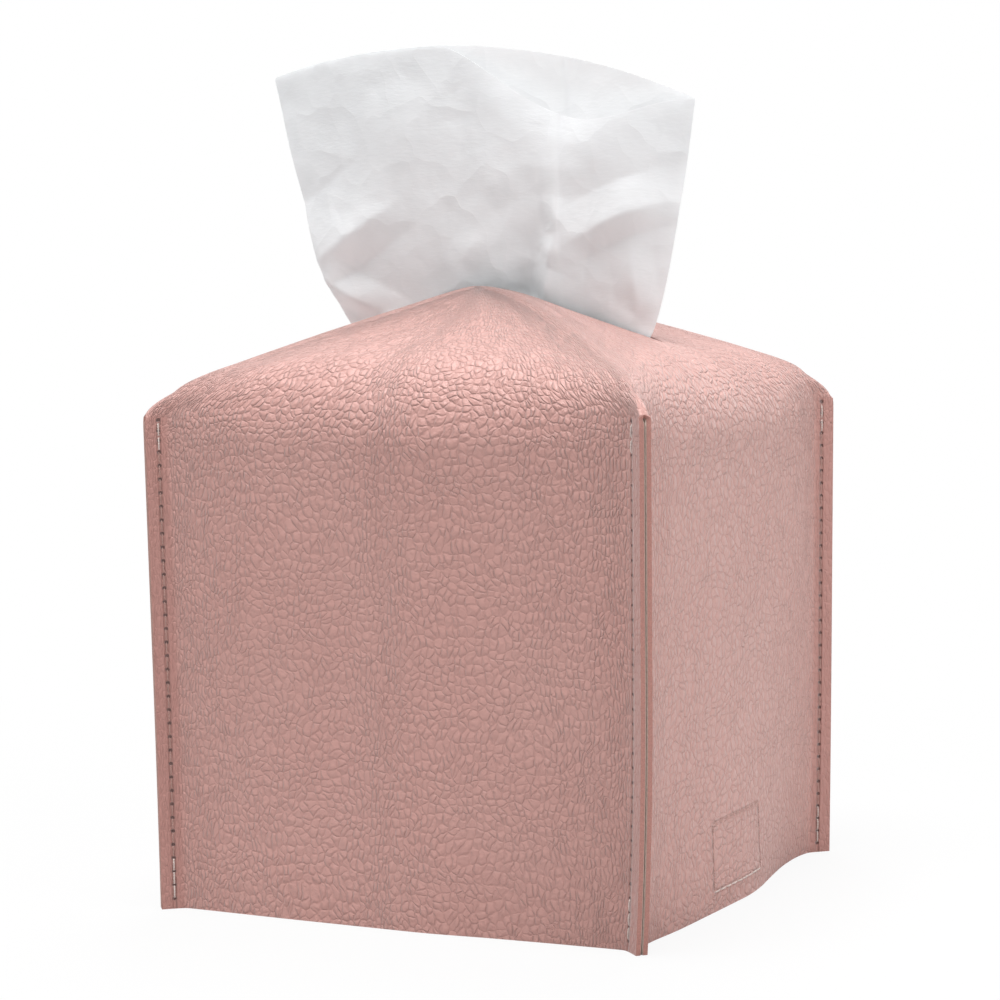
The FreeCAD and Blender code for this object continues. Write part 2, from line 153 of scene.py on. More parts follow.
WALL_TOP = roll_foot(FACE_ROLL)
SEAM_TOP = roll_foot(RIDGE_ROLL)
FOLD_START = SEAM_TOP + FOLD_RISE
FACE_END = TOP_HALF - FACE_ROLL + FACE_ROLL * math.cos(ROLL_END)
RIDGE_END = TOP_HALF - RIDGE_ROLL + RIDGE_ROLL * math.cos(ROLL_END)
ROLL_PATH = FACE_ROLL * ROLL_END
SLOPE_PATH = FACE_END / math.cos(SLOPE)
SLOPE_START = WALL_TOP + ROLL_PATH
PATH_END = SLOPE_START + SLOPE_PATH
QUARTERS = ("front", "right", "rear", "left")


def smooth(share):
    share = np.clip(share, 0, 1)
    return share * share * (3 - 2 * share)


def half_at(height):
    return FOOT_HALF + WALL_LEAN * height / SEAM_TOP


def roof_line(roll, foot, turn, slope, end):
    """Distance from the axis and height on a line up the cover: wall, roll, then slope."""
    angle = turn * ROLL_END
    distance = TOP_HALF - roll + roll * np.cos(angle)
    height = foot + roll * np.sin(angle)
    on_slope = slope > 0
    distance = np.where(on_slope, end * (1 - slope), distance)
    height = np.where(on_slope, ROOF_PEAK - distance * math.tan(SLOPE), height)
    return distance, height


def profile(path):
    """A panel's middle and its corner at a path up the panel: distances from the axis and heights."""
    turn = np.clip((path - WALL_TOP) / ROLL_PATH, 0, 1)
    slope = np.clip((path - SLOPE_START) / SLOPE_PATH, 0, 1)
    middle, middle_height = roof_line(FACE_ROLL, WALL_TOP, turn, slope, FACE_END)
    ridge_turn = np.clip((turn - RIDGE_DELAY_SHARE) / (1 - RIDGE_DELAY_SHARE), 0, 1)
    corner, corner_height = roof_line(RIDGE_ROLL, SEAM_TOP, ridge_turn, slope, RIDGE_END)
    upright = WALL_TOP + (SEAM_TOP - WALL_TOP) * np.clip(turn / RIDGE_DELAY_SHARE, 0, 1)
    upright = np.where(path < WALL_TOP, path, upright)
    on_wall = turn < RIDGE_DELAY_SHARE
    corner_height = np.where(on_wall, upright, corner_height)
    corner = np.where(on_wall, half_at(upright), corner)
    middle_height = np.where(path < WALL_TOP, path, middle_height)
    middle = np.where(path < WALL_TOP, half_at(path), middle)
    return middle, middle_height, corner, corner_height


def seam_path(height):
    """Path up a panel at which its corner has a height on the wall or on the roll."""
    over = np.clip((height - WALL_TOP) / (SEAM_TOP - WALL_TOP), 0, 1) * RIDGE_DELAY_SHARE
    bend = np.arcsin(np.clip((height - SEAM_TOP) / RIDGE_ROLL, 0, 1)) / ROLL_END * (1 - RIDGE_DELAY_SHARE)
    return np.where(height < WALL_TOP, height, WALL_TOP + (over + bend) * ROLL_PATH)


def half_gore(path, across):
    """Half a panel: across is 0 at its middle, 1 at the crease of the seam and 2 at the cut edge or ridge.
    Gives the distance along the wall, the distance out from the axis, and the height."""
    middle, middle_height, corner, corner_height = profile(path)
    crease = np.maximum(np.maximum(corner - ROOT2 * SEAM_HALF, corner * CREASE_LEAST_SHARE), TINY)
    run = np.where(across < 1, across * crease, crease + (across - 1) * FLANGE)
    past = run - crease
    lift = (past + np.sqrt(past ** 2 + CREASE_ROUND ** 2)) / 2
    flat = run - lift
    share = flat / crease
    seam_along = flat + lift / ROOT2
    seam_out = middle + (corner - middle) * share ** 2 + lift / ROOT2
    seam_height = middle_height + (corner_height - middle_height) * share ** 2
    tip = np.clip((past - ALLOWANCE) / SEAM_HALF, 0, 1)
    keep = np.where(corner_height > FOLD_START + FOLD_MARGIN, np.sqrt(1 - tip ** 2), 1)
    mean = (seam_along + seam_out) / 2
    apart = (seam_along - seam_out) / 2 * keep
    seam_along, seam_out = mean + apart, mean - apart

    softens = smooth((corner_height - FOLD_START) / RIDGE_SOFTENS_OVER)
    soft = RIDGE_SOFT_LOW + (RIDGE_SOFT_HIGH - RIDGE_SOFT_LOW) * softens
    soft = np.maximum(np.minimum(soft, RIDGE_SOFT_SHARE * corner), LEAST_SOFT)
    reach = corner + soft / 2
    ridge_run = run / (crease + FLANGE) * reach
    ridge_share = ridge_run / np.maximum(reach, TINY)
    rounding = soft / 2 * np.exp((ridge_run - reach) / soft)
    ridge_along = ridge_run - rounding
    ridge_out = middle + (reach - middle) * ridge_share ** 2 - rounding
    ridge_height = middle_height + (corner_height - middle_height) * ridge_share ** 2

    opened = smooth((corner_height - FOLD_START) / FOLD_OPENS_OVER)
    opened = np.where(path > SLOPE_START, 1, opened)
    along = seam_along + (ridge_along - seam_along) * opened
    out = seam_out + (ridge_out - seam_out) * opened
    height = seam_height + (ridge_height - seam_height) * opened
    return along, out, height


def turned(along, out, quarter):
    """Plan place of a point on the wall of a quarter turn, front to right."""
    return ((along, -out), (out, along), (-along, out), (-out, -along))[quarter]


def table(places, values):
    """Smooth reading of a short table of places and amounts."""
    spots, amounts = np.array(places, float).T
    fine = np.linspace(spots[0], spots[-1], TABLE_STEPS)
    coarse = np.interp(fine, spots, amounts)
    kernel = np.hanning(TABLE_BLUR)
    padded = np.pad(coarse, TABLE_BLUR // 2, mode="edge")
    return np.interp(values, fine, np.convolve(padded, kernel / kernel.sum(), mode="valid"))


def hem_wave(x, y, z):
    """How far the soft walls stand out of their planes near the foot, as a plan shift."""
    fade = np.clip(1 - z / HEM_FADE, 0, 1) ** 2
    walls = ((HEM_FRONT, x, -y, (0, -1)), (HEM_RIGHT, y, x, (1, 0)),
             (HEM_REAR, x, y, (0, 1)), (HEM_LEFT, y, -x, (-1, 0)))
    shift_x = np.zeros_like(x)
    shift_y = np.zeros_like(x)
    for places, along, out, direction in walls:
        amount = table(places, along) * fade * smooth((out - HEM_WALL_FROM) / HEM_WALL_FADE)
        shift_x = shift_x + amount * direction[0]
        shift_y = shift_y + amount * direction[1]
    return shift_x, shift_y


def on_panel(out, along):
    """Share of a place that lies on the flat of a wall, from its distances out and along."""
    return smooth((out - PANEL_FROM) / PANEL_FROM_FADE) * smooth((PANEL_TO - np.abs(along)) / PANEL_TO_FADE)


def soften(x, y, z, slot_side):
    """The cover's own softness: blunt crown, parted slot, waves of the hem, billows and a pressed crease."""
    radius = np.maximum(np.abs(x), np.abs(y))
    on_roof = smooth((z - WALL_TOP) / (ROOF_PEAK - WALL_TOP) * ROOF_BLEND_RATE)
    z = z - on_roof * math.tan(SLOPE) * (np.sqrt(radius ** 2 + CROWN_ROUND ** 2) - radius)
    x = x + on_roof * PEAK_SHIFT * np.clip(1 - radius / PEAK_SHIFT_REACH, 0, 1) ** 2
    lens = SLOT_HALF_WIDTH * np.clip(1 - (x / SLOT_HALF) ** 2, 0, 1)
    parted = np.clip(1 - np.abs(y) / SLOT_REACH, 0, 1) ** 2 * (radius < SLOT_HALF + SLOT_REACH)
    y = y + slot_side * lens * parted
    beside = np.exp(-((np.abs(x) - np.abs(y)) / RIDGE_TRIM_WIDTH) ** 2)
    beside = np.maximum(beside, smooth((CROWN_TRIM_REACH - radius) / CROWN_TRIM_REACH))
    far_right = smooth((x + y) / TOP_HALF)
    trim = (1 - far_right) * table(RIDGE_TRIM, radius) + far_right * table(RIDGE_TRIM_FAR, radius)
    z = z + on_roof * beside * trim
    shift_x, shift_y = hem_wave(x, y, z)
    x = x + shift_x
    y = y + shift_y
    swell = np.sin(x / BILLOW_ALONG + 0.7) * np.sin(z / BILLOW_UP + 1.1)
    swell = swell + BILLOW_CROSS_SHARE * np.sin(y / BILLOW_CROSS + z / BILLOW_CROSS_UP + 0.4)
    swell = BILLOW * swell * smooth(z / BILLOW_FOOT_FADE)
    swell = swell * smooth((WALL_TOP + BILLOW_ROOF_REACH - z) / BILLOW_ROOF_FADE)
    front, right, rear = on_panel(-y, x), on_panel(np.abs(x), y), on_panel(y, x)
    crease_x = FRONT_CREASE_X
    for sway, run in FRONT_CREASE_SWAYS:
        crease_x = crease_x + sway * np.sin(z / run)
    crease = np.exp(-((x - crease_x) / FRONT_CREASE_WIDTH) ** 2)
    crease = crease * smooth((z - FRONT_CREASE_LOW) / FRONT_CREASE_LOW_FADE)
    crease = crease * smooth((FRONT_CREASE_HIGH - z) / FRONT_CREASE_HIGH_FADE)
    y = y - front * (swell - FRONT_CREASE_DEPTH * crease) + rear * swell
    x = x + right * np.sign(x) * swell
    along_x, along_y = np.clip(x / TOP_HALF, -1, 1), np.clip(y / TOP_HALF, -1, 1)
    for side_x, side_y, shift_x, shift_y in CORNER_SHIFTS:
        share = (1 + side_x * along_x) * (1 + side_y * along_y) / 4
        x = x + share * shift_x
        y = y + share * shift_y
    return x, y, z


def cover_points(quarter, side, path, across):
    """Points of the leather's outer face on half a panel, as an array of x, y, z."""
    along, out, height = half_gore(path, across)
    x, y = turned(side * along, out, quarter)
    slot_side = (-1, side, 1, -side)[quarter]
    return np.stack(soften(x, y, height, slot_side), -1)


def cover_normals(quarter, side, path, across):
    """Outward unit normals of the leather at the same places."""
    def gap(up, aside):
        ahead = cover_points(quarter, side, path + up, across + aside)
        return ahead - cover_points(quarter, side, path - up, across - aside)

    normal = np.cross(gap(0, NORMAL_STEP_ACROSS), gap(NORMAL_STEP_UP, 0)) * side
    return normal / np.linalg.norm(normal, axis=-1, keepdims=True)


def grid_faces(rows, columns, start=0, flip=False):
    """Quads of a grid of points, row by row."""
    corner = start + np.arange(rows - 1)[:, None] * columns + np.arange(columns - 1)
    corner = corner.ravel()
    quads = np.stack([corner, corner + 1, corner + columns + 1, corner + columns], -1)
    return quads[:, ::-1] if flip else quads


def ring_faces(rings, size):
    """Quads between closed rings of points, ring by ring."""
    low = np.arange(rings - 1)[:, None] * size
    step = np.arange(size)
    following = (step + 1) % size
    quads = np.stack([low + step, low + following, low + size + following, low + size + step], -1)
    return quads.reshape(-1, 4).tolist()


def capped_faces(rings, size):
    """The same quads, with a face over each end."""
    last = (rings - 1) * size
    return ring_faces(rings, size) + [list(range(size))[::-1], list(range(last, last + size))]


def new_object(name, points, faces, material, smooth_shade=True):
    """Mesh object from points in millimetres."""
    mesh = bpy.data.meshes.new(name)
    mesh.from_pydata((np.asarray(points, float) * MM).tolist(), [], [list(map(int, f)) for f in faces])
    for item in material if isinstance(material, (list, tuple)) else [material]:
        mesh.materials.append(item)
    mesh.polygons.foreach_set("use_smooth", [smooth_shade] * len(mesh.polygons))
    obj = bpy.data.objects.new(name, mesh)
    bpy.context.scene.collection.objects.link(obj)
    return obj


def grid_object(name, points, material, flip=False):
    """Mesh object from a grid of points."""
    faces = grid_faces(*points.shape[:2], flip=flip)
    return new_object(name, points.reshape(-1, 3), faces, material)


def thickened(obj, thickness, **settings):
    """Gives a sheet a thickness in millimetres, inward from its face unless the settings say otherwise."""
    modifier = obj.modifiers.new("solidify", "SOLIDIFY")
    for key, value in {"thickness": thickness * MM, "offset": -1, "use_rim": True, **settings}.items():
        setattr(modifier, key, value)
    graph = bpy.context.evaluated_depsgraph_get()
    shown = obj.evaluated_get(graph)
    made = bpy.data.meshes.new_from_object(shown, preserve_all_data_layers=True, depsgraph=graph)
    old = obj.data
    obj.modifiers.clear()
    obj.data = made
    made.name = obj.name
    bpy.data.meshes.remove(old)
    return obj


def crisp(obj, degrees):
    """Keeps edges sharper than an angle crisp under smooth shading."""
    obj.data.set_sharp_from_angle(angle=math.radians(degrees))
    return obj


def piece(obj, body, slot, *nodes):
    """Seats a finished piece on the body it rides on and hides the CAD nodes it stands for; the slot, its
    finish, is not used.
    """
    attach(obj, body)
    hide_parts(*nodes)


# Shader helpers

def node(tree, kind, settings=None, **inputs):
    """One shader node. Inputs are sockets by name, or by number as i0, i1; a socket value is linked."""
    made = tree.nodes.new("ShaderNode" + kind)
    for key, value in (settings or {}).items():
        setattr(made, key, value)
    for key, value in inputs.items():
        by_number = key[0] == "i" and key[1:].isdigit()
        socket = made.inputs[int(key[1:])] if by_number else made.inputs[key.replace("_", " ")]
        if isinstance(value, bpy.types.NodeSocket):
            tree.links.new(value, socket)
        else:
            socket.default_value = value
    return made


def maths(tree, operation, a, b=0.0):
    return node(tree, "Math", {"operation": operation}, i0=a, i1=b).outputs[0]


def vector(tree, operation, a, b):
    return node(tree, "VectorMath", {"operation": operation}, i0=a, i1=b).outputs[0]


def ramped(tree, value, low, high, to_low=0.0, to_high=1.0):
    """Smooth step of a value between two limits."""
    made = node(tree, "MapRange", {"interpolation_type": "SMOOTHSTEP"}, Value=value)
    for key, number in (("From Min", low), ("From Max", high), ("To Min", to_low), ("To Max", to_high)):
        made.inputs[key].default_value = number
    return made.outputs[0]


def blended(tree, share, first, second):
    """Colour between two colours by a share."""
    made = node(tree, "Mix", {"data_type": "RGBA"}, Factor=share)
    for socket, value in ((made.inputs[6], first), (made.inputs[7], second)):
        if isinstance(value, bpy.types.NodeSocket):
            tree.links.new(value, socket)
        else:
            socket.default_value = (*value, 1)
    return made.outputs[2]


def noise(tree, place, scale, detail=2.0, dimensions="3D"):
    return node(tree, "TexNoise", {"noise_dimensions": dimensions}, Vector=place, Scale=scale, Detail=detail)


def new_material(name, roughness=0.6, **sockets):
    """Material with one Principled shader: gives the material, its node tree and the shader."""
    material = bpy.data.materials.new(name)
    material.use_nodes = True
    tree = material.node_tree
    shader = tree.nodes["Principled BSDF"]
    shader.inputs["Roughness"].default_value = roughness
    for key, value in sockets.items():
        shader.inputs[key.replace("_", " ")].default_value = value
    return material, tree, shader


def bumped(tree, shader, height, depth):
    """Links a height, in shares of a depth in millimetres, to the shader's normal."""
    bump = node(tree, "Bump", Height=height, Distance=depth * MM)
    tree.links.new(bump.outputs[0], shader.inputs["Normal"])


def coloured(tree, shader, colour):
    tree.links.new(colour, shader.inputs["Base Color"])


def shaded(colour, share):
    return tuple(c * share for c in colour)


# Colours, linear
PINK = (0.585, 0.318, 0.282)
# Painted shade: the deeper pink that darkens the grain's creases, the seams and ridges, and the needle holes
PINK_PAINTED_SHADE = (0.40, 0.185, 0.158)
PINK_WORN = (0.66, 0.40, 0.36)
PINK_EDGE = (0.40, 0.19, 0.16)
BACKING_COLOUR = (0.62, 0.50, 0.44)
# Thread: the plain stitches are painted darker and pinker, as shade where they sink into the leather; the
# stitches sewn twice keep the pale thread
THREAD_IN_PAINTED_SHADE = (0.46, 0.28, 0.245)
THREAD_PALE = (0.70, 0.60, 0.56)
PAPER = (0.972, 0.979, 0.985)
CARD_COLOUR = (0.80, 0.80, 0.79)
BAND_COLOUR = (0.52, 0.60, 0.60)
TAPE_COLOUR = (0.66, 0.55, 0.52)
FILM_COLOUR = (0.92, 0.93, 0.94, 1)
FLOOR_COLOUR = (0.6, 0.6, 0.6, 1)

# Fibrous finishes: shades are shares of the hue, fibres a noise's scale and detail, weave the way, scale and
# distortion of its bands
FIBRES = {
    "leather_cut_edge": dict(hue=PINK_EDGE, roughness=0.72, shades=(1.0, 1.25), fibres=(2600.0, 4), depth=0.12,
                             contrast=(0.35, 0.7)),
    "leather_backing": dict(hue=BACKING_COLOUR, roughness=0.9, shades=(0.85, 1.1), fibres=(1800.0, 3),
                            depth=0.1, weave=("DIAGONAL", 420.0, 2.0)),
    "sewing_thread": dict(hue=THREAD_IN_PAINTED_SHADE, roughness=0.55, shades=(0.8, 1.15), fibres=(2400.0, 3),
                          depth=0.05),
    "sewing_thread_double": dict(hue=THREAD_PALE, roughness=0.55, shades=(0.8, 1.15), fibres=(2400.0, 3),
                                 depth=0.05),
    "fastener_tape": dict(hue=TAPE_COLOUR, roughness=0.6, shades=(0.85, 1.1), fibres=(1500.0, 2), depth=0.06,
                          weave=("Z", 700.0, 0.0)),
}

# Crepe of the tissue paper, and its clouds and crumpled facets as multiples of that
CREPE_DEPTH = 0.09
CREPE_STRETCH, CREPE_SCALE = (0.5, 1.0, 1.6), 900.0
PAPER_CLOUD_SCALE, PAPER_CLOUD_SHARE, PAPER_SHADE = 130.0, 1.5, 0.975
CRUMPLE_SHARE = 9.0
CRUMPLE_SCALE, CRUMPLE_BEND_SCALE, CRUMPLE_BEND = 85.0, 60.0, 0.02
PAPER_LETS_THROUGH = 0.48

# Fastener patches sewn inside the side walls
LOOP_LENGTH, LOOP_WIDTH, LOOP_FOOT, LOOP_ROUND = 35.0, 20.0, 3.5, 2.5
STITCH_INSET = 1.5

# Leather grain: a wander is a noise's scale and reach, flecks are a noise's scale and detail and the limits of
# a smooth step, and edges are such limits
GRAIN_CELL = 2.05
GRAIN_CHANCE = 0.82
GRAIN_WANDERS = ((0.045, 8.0), (0.33, 1.5))
PLATE_EDGE, PLATE_SHARE = (-0.01, 0.2), 0.5
PILLOW_EDGE, PILLOW_SHARE = (0.0, 0.8, 1.0, 0.0), 0.5
WRINKLE_RATE, WRINKLE_EDGE, WRINKLE_SHARE = 2.3, (0.0, 0.16), 0.1
WRINKLE_PATCHES = (0.11, 2, 0.42, 0.66)
FINE_FLECKS, FINE_SHARE = (3.1, 3), 0.1
UNEVEN_FLECKS = (0.3, 2, 0.34, 0.62, 0.55, 1.0)
SEAM_GROOVE, GROOVE_SHARE = (0.1, 0.8, 1.0, 0.0), 0.9
HOLE_FLOOR_SHARE, HOLE_SHARE, HOLE_DARK_SHARE, HOLE_SHADE = 0.45, 1.2, 0.85, 0.22
WORN_CLOUDS, WORN_SHARE = (0.03, 3, 0.3, 0.7), 0.14
# Painted shade in the grain's creases: how far they darken
CREASE_PAINTED_SHADE = 0.04
# Painted shade along the seams and ridges: the grain shares over which it fades, and its strength at each end
SEAM_PAINTED_SHADE = (0.35, 0.9, 0.55, 0.0)
SHEEN, SHEEN_ROUGHNESS = 0.34, 0.42
ROUGHNESS, PRESSED_ROUGHNESS, FINE_ROUGHNESS = 0.46, 0.16, 0.06
CREASE_SMOOTH_BEFORE, CREASE_SMOOTH_OVER = 1.0, 2.5
RIDGE_SMOOTH_FROM, RIDGE_SMOOTH_OVER = 1.9, 0.1
SEAM_SMOOTHING = 0.62
RELIEF_WALL, RELIEF_ROOF_MORE, RELIEF_FROM, RELIEF_OVER = 0.95, 0.2, 90.0, 30.0
CORNER_STRETCH = 0.32
SHEET_SHIFT, STRAP_SHEET_SHIFT, SHEET_TALL_SHARE = 410.0, 1900.0, 1.06
GRAIN_TALL_SHARE = 0.86
SIDE_GRAIN_SHARE = 0.76
GRAIN_DEPTH = 0.46
STITCH = 3.4
STITCH_LINES = (1.3, 2.5, 2.2, 2.8)
BACK_STITCHES_LOW, BACK_STITCHES_HIGH = 3, 2
SEAM_END = 2.6
NEEDLE_HOLE = 0.58
FAR_FROM_SEAM = 50.0


def leather_material():
    """Pebbled leather: irregular plates with pressed creases, finer wrinkles, and needle holes at the seams;
    its colour is darkened with painted shade in the creases, along the seams and ridges, and in the needle
    holes.
    """
    material, tree, shader = new_material("pink_leather", roughness=0.5, Sheen_Weight=SHEEN,
                                          Sheen_Roughness=SHEEN_ROUGHNESS)
    sheet = node(tree, "UVMap", {"uv_map": "sheet"}).outputs[0]
    seam = node(tree, "UVMap", {"uv_map": "seam"}).outputs[0]
    smoothing = node(tree, "Attribute", {"attribute_name": "grain"}).outputs["Fac"]

    def times(a, b):
        return maths(tree, "MULTIPLY", a, b)

    def plus(a, b):
        return maths(tree, "ADD", a, b)

    def less(a, b):
        return maths(tree, "SUBTRACT", a, b)

    def flecks(scale, detail, *limits):
        spread = noise(tree, sheet, scale, detail, "2D").outputs["Fac"]
        return ramped(tree, spread, *limits) if limits else spread

    moved = sheet
    for scale, reach in GRAIN_WANDERS:
        wander = noise(tree, sheet, scale, 2, "2D").outputs["Color"]
        centred = vector(tree, "SUBTRACT", wander, (0.5, 0.5, 0.5))
        moved = vector(tree, "ADD", moved, vector(tree, "MULTIPLY", centred, (reach, reach, 0)))
    moved = vector(tree, "MULTIPLY", moved, (1.0, GRAIN_TALL_SHARE, 1.0))

    def cells(feature, rate, chance):
        kind = {"voronoi_dimensions": "2D", "feature": feature}
        made = node(tree, "TexVoronoi", kind, Vector=moved, Scale=rate / GRAIN_CELL, Randomness=chance)
        return made.outputs["Distance"]

    plate_top = ramped(tree, cells("DISTANCE_TO_EDGE", 1, GRAIN_CHANCE), *PLATE_EDGE)
    pillow = ramped(tree, cells("F1", 1, GRAIN_CHANCE), *PILLOW_EDGE)
    wrinkle = ramped(tree, cells("DISTANCE_TO_EDGE", WRINKLE_RATE, 1.0), *WRINKLE_EDGE)
    gap = times(less(1.0, wrinkle), flecks(*WRINKLE_PATCHES))
    fine = flecks(*FINE_FLECKS)
    height = plus(times(plate_top, PLATE_SHARE), times(pillow, PILLOW_SHARE))
    height = times(height, flecks(*UNEVEN_FLECKS))
    height = less(height, times(gap, WRINKLE_SHARE))
    height = plus(height, times(fine, FINE_SHARE))
    height = times(height, smoothing)

    split = node(tree, "SeparateXYZ", Vector=seam)
    aside = split.outputs[0]
    steps = maths(tree, "FRACT", maths(tree, "DIVIDE", split.outputs[1], STITCH))
    beside = less(STITCH / 2, times(maths(tree, "ABSOLUTE", less(steps, 0.5)), STITCH))
    squares = plus(maths(tree, "POWER", aside, 2.0), maths(tree, "POWER", beside, 2.0))
    distance = maths(tree, "SQRT", squares)
    hole = ramped(tree, distance, NEEDLE_HOLE * HOLE_FLOOR_SHARE, NEEDLE_HOLE, 1.0, 0.0)
    groove = ramped(tree, maths(tree, "ABSOLUTE", aside), *SEAM_GROOVE)
    height = less(height, times(groove, GROOVE_SHARE))
    height = less(height, times(hole, HOLE_SHARE))
    bumped(tree, shader, height, GRAIN_DEPTH)

    pressed = times(less(1.0, plate_top), smoothing)
    colour = blended(tree, times(flecks(*WORN_CLOUDS), WORN_SHARE), PINK, PINK_WORN)
    # Painted shade: the creases between the grain's plates are darkened a little towards a deeper pink
    colour = blended(tree, times(pressed, CREASE_PAINTED_SHADE), colour, PINK_PAINTED_SHADE)
    # Painted shade: where the grain is smoothed along the seams and ridges, the leather is darkened towards a
    # deeper pink
    colour = blended(tree, ramped(tree, smoothing, *SEAM_PAINTED_SHADE), colour, PINK_PAINTED_SHADE)
    # Painted shade: the needle holes are darkened
    colour = blended(tree, times(hole, HOLE_DARK_SHARE), colour, shaded(PINK_PAINTED_SHADE, HOLE_SHADE))
    coloured(tree, shader, colour)
    gloss = plus(ROUGHNESS, times(pressed, PRESSED_ROUGHNESS))
    tree.links.new(plus(gloss, times(fine, FINE_ROUGHNESS)), shader.inputs["Roughness"])
    return material


def fibre_material(name):
    """Fibrous finish: two shades of one hue by a fine noise, and a relief of the noise and any weave."""
    finish = FIBRES[name]
    material, tree, shader = new_material(name, roughness=finish["roughness"])
    place = node(tree, "TexCoord").outputs["Object"]
    fibre = noise(tree, place, *finish["fibres"]).outputs["Fac"]
    share = ramped(tree, fibre, *finish["contrast"]) if "contrast" in finish else fibre
    dark, light = (shaded(finish["hue"], shade) for shade in finish["shades"])
    coloured(tree, shader, blended(tree, share, dark, light))
    if "weave" in finish:
        direction, scale, distortion = finish["weave"]
        bands = node(tree, "TexWave", {"wave_type": "BANDS", "bands_direction": direction}, Vector=place,
                     Scale=scale, Distortion=distortion)
        fibre = maths(tree, "ADD", bands.outputs["Fac"], fibre)
    bumped(tree, shader, fibre, finish["depth"])
    return material


def paper_material():
    """Thin crepe tissue that lets light through."""
    material, tree, shader = new_material("tissue_paper", roughness=0.95, Specular_IOR_Level=0.15)
    place = node(tree, "TexCoord").outputs["Object"]
    crepe = noise(tree, vector(tree, "MULTIPLY", place, CREPE_STRETCH), CREPE_SCALE, 4).outputs["Fac"]
    cloud = noise(tree, place, PAPER_CLOUD_SCALE, 3).outputs["Fac"]
    colour = blended(tree, ramped(tree, cloud, 0.3, 0.7), shaded(PAPER, PAPER_SHADE), PAPER)
    coloured(tree, shader, colour)
    wander = noise(tree, place, CRUMPLE_BEND_SCALE, 2).outputs["Color"]
    drift = node(tree, "VectorMath", {"operation": "SCALE"}, i0=wander, Scale=CRUMPLE_BEND).outputs[0]
    bent = vector(tree, "ADD", place, drift)
    crumple = node(tree, "TexVoronoi", Vector=bent, Scale=CRUMPLE_SCALE).outputs["Distance"]
    height = maths(tree, "ADD", crepe, maths(tree, "MULTIPLY", cloud, PAPER_CLOUD_SHARE))
    height = maths(tree, "ADD", height, maths(tree, "MULTIPLY", crumple, CRUMPLE_SHARE))
    bumped(tree, shader, height, CREPE_DEPTH)
    thin = node(tree, "BsdfTranslucent")
    tree.links.new(colour, thin.inputs["Color"])
    mixed = node(tree, "MixShader", i0=PAPER_LETS_THROUGH, i1=shader.outputs[0], i2=thin.outputs[0])
    tree.links.new(mixed.outputs[0], tree.nodes["Material Output"].inputs["Surface"])
    return material


# Leather cover

def leather_columns():
    """Places across half a panel, closer together towards the crease of the seam."""
    panel = np.linspace(0, 1, PANEL_COLUMNS)
    panel = 1 - (1 - panel) ** COLUMN_CROWDING
    flange = 1 + np.linspace(0, 1, FLANGE_COLUMNS)[1:]
    return np.concatenate([panel, flange])


def leather_rows():
    """Paths up a panel, with one row where the seam's fold starts."""
    fold = float(seam_path(FOLD_START))
    rows = [
        np.linspace(0, WALL_TOP, WALL_ROWS)[:-1],
        np.linspace(WALL_TOP, fold, FOLD_ROWS),
        np.linspace(fold + FOLD_STEP, SLOPE_START, ROLL_ROWS),
        np.linspace(SLOPE_START, PATH_END, SLOPE_ROWS)[1:],
    ]
    return np.concatenate(rows)


def grain_layers(obj, sheet, seam=None, grain=None):
    """Coordinates for the grain: place on the flat sheet, distance off and along a seam, and grain share, which
    also sets the painted shade along the seams and ridges.
    """
    mesh = obj.data
    count = len(mesh.vertices)
    seam = np.tile((FAR_FROM_SEAM, 0.0), (count, 1)) if seam is None else seam
    grain = np.ones(count) if grain is None else grain
    corners = np.zeros(len(mesh.loops), int)
    mesh.loops.foreach_get("vertex_index", corners)
    for name, values in (("sheet", sheet), ("seam", seam)):
        layer = mesh.uv_layers.new(name=name)
        layer.data.foreach_set("uv", values[corners].astype(np.float32).ravel())
    attribute = mesh.attributes.new("grain", "FLOAT", "POINT")
    attribute.data.foreach_set("value", grain.astype(np.float32))


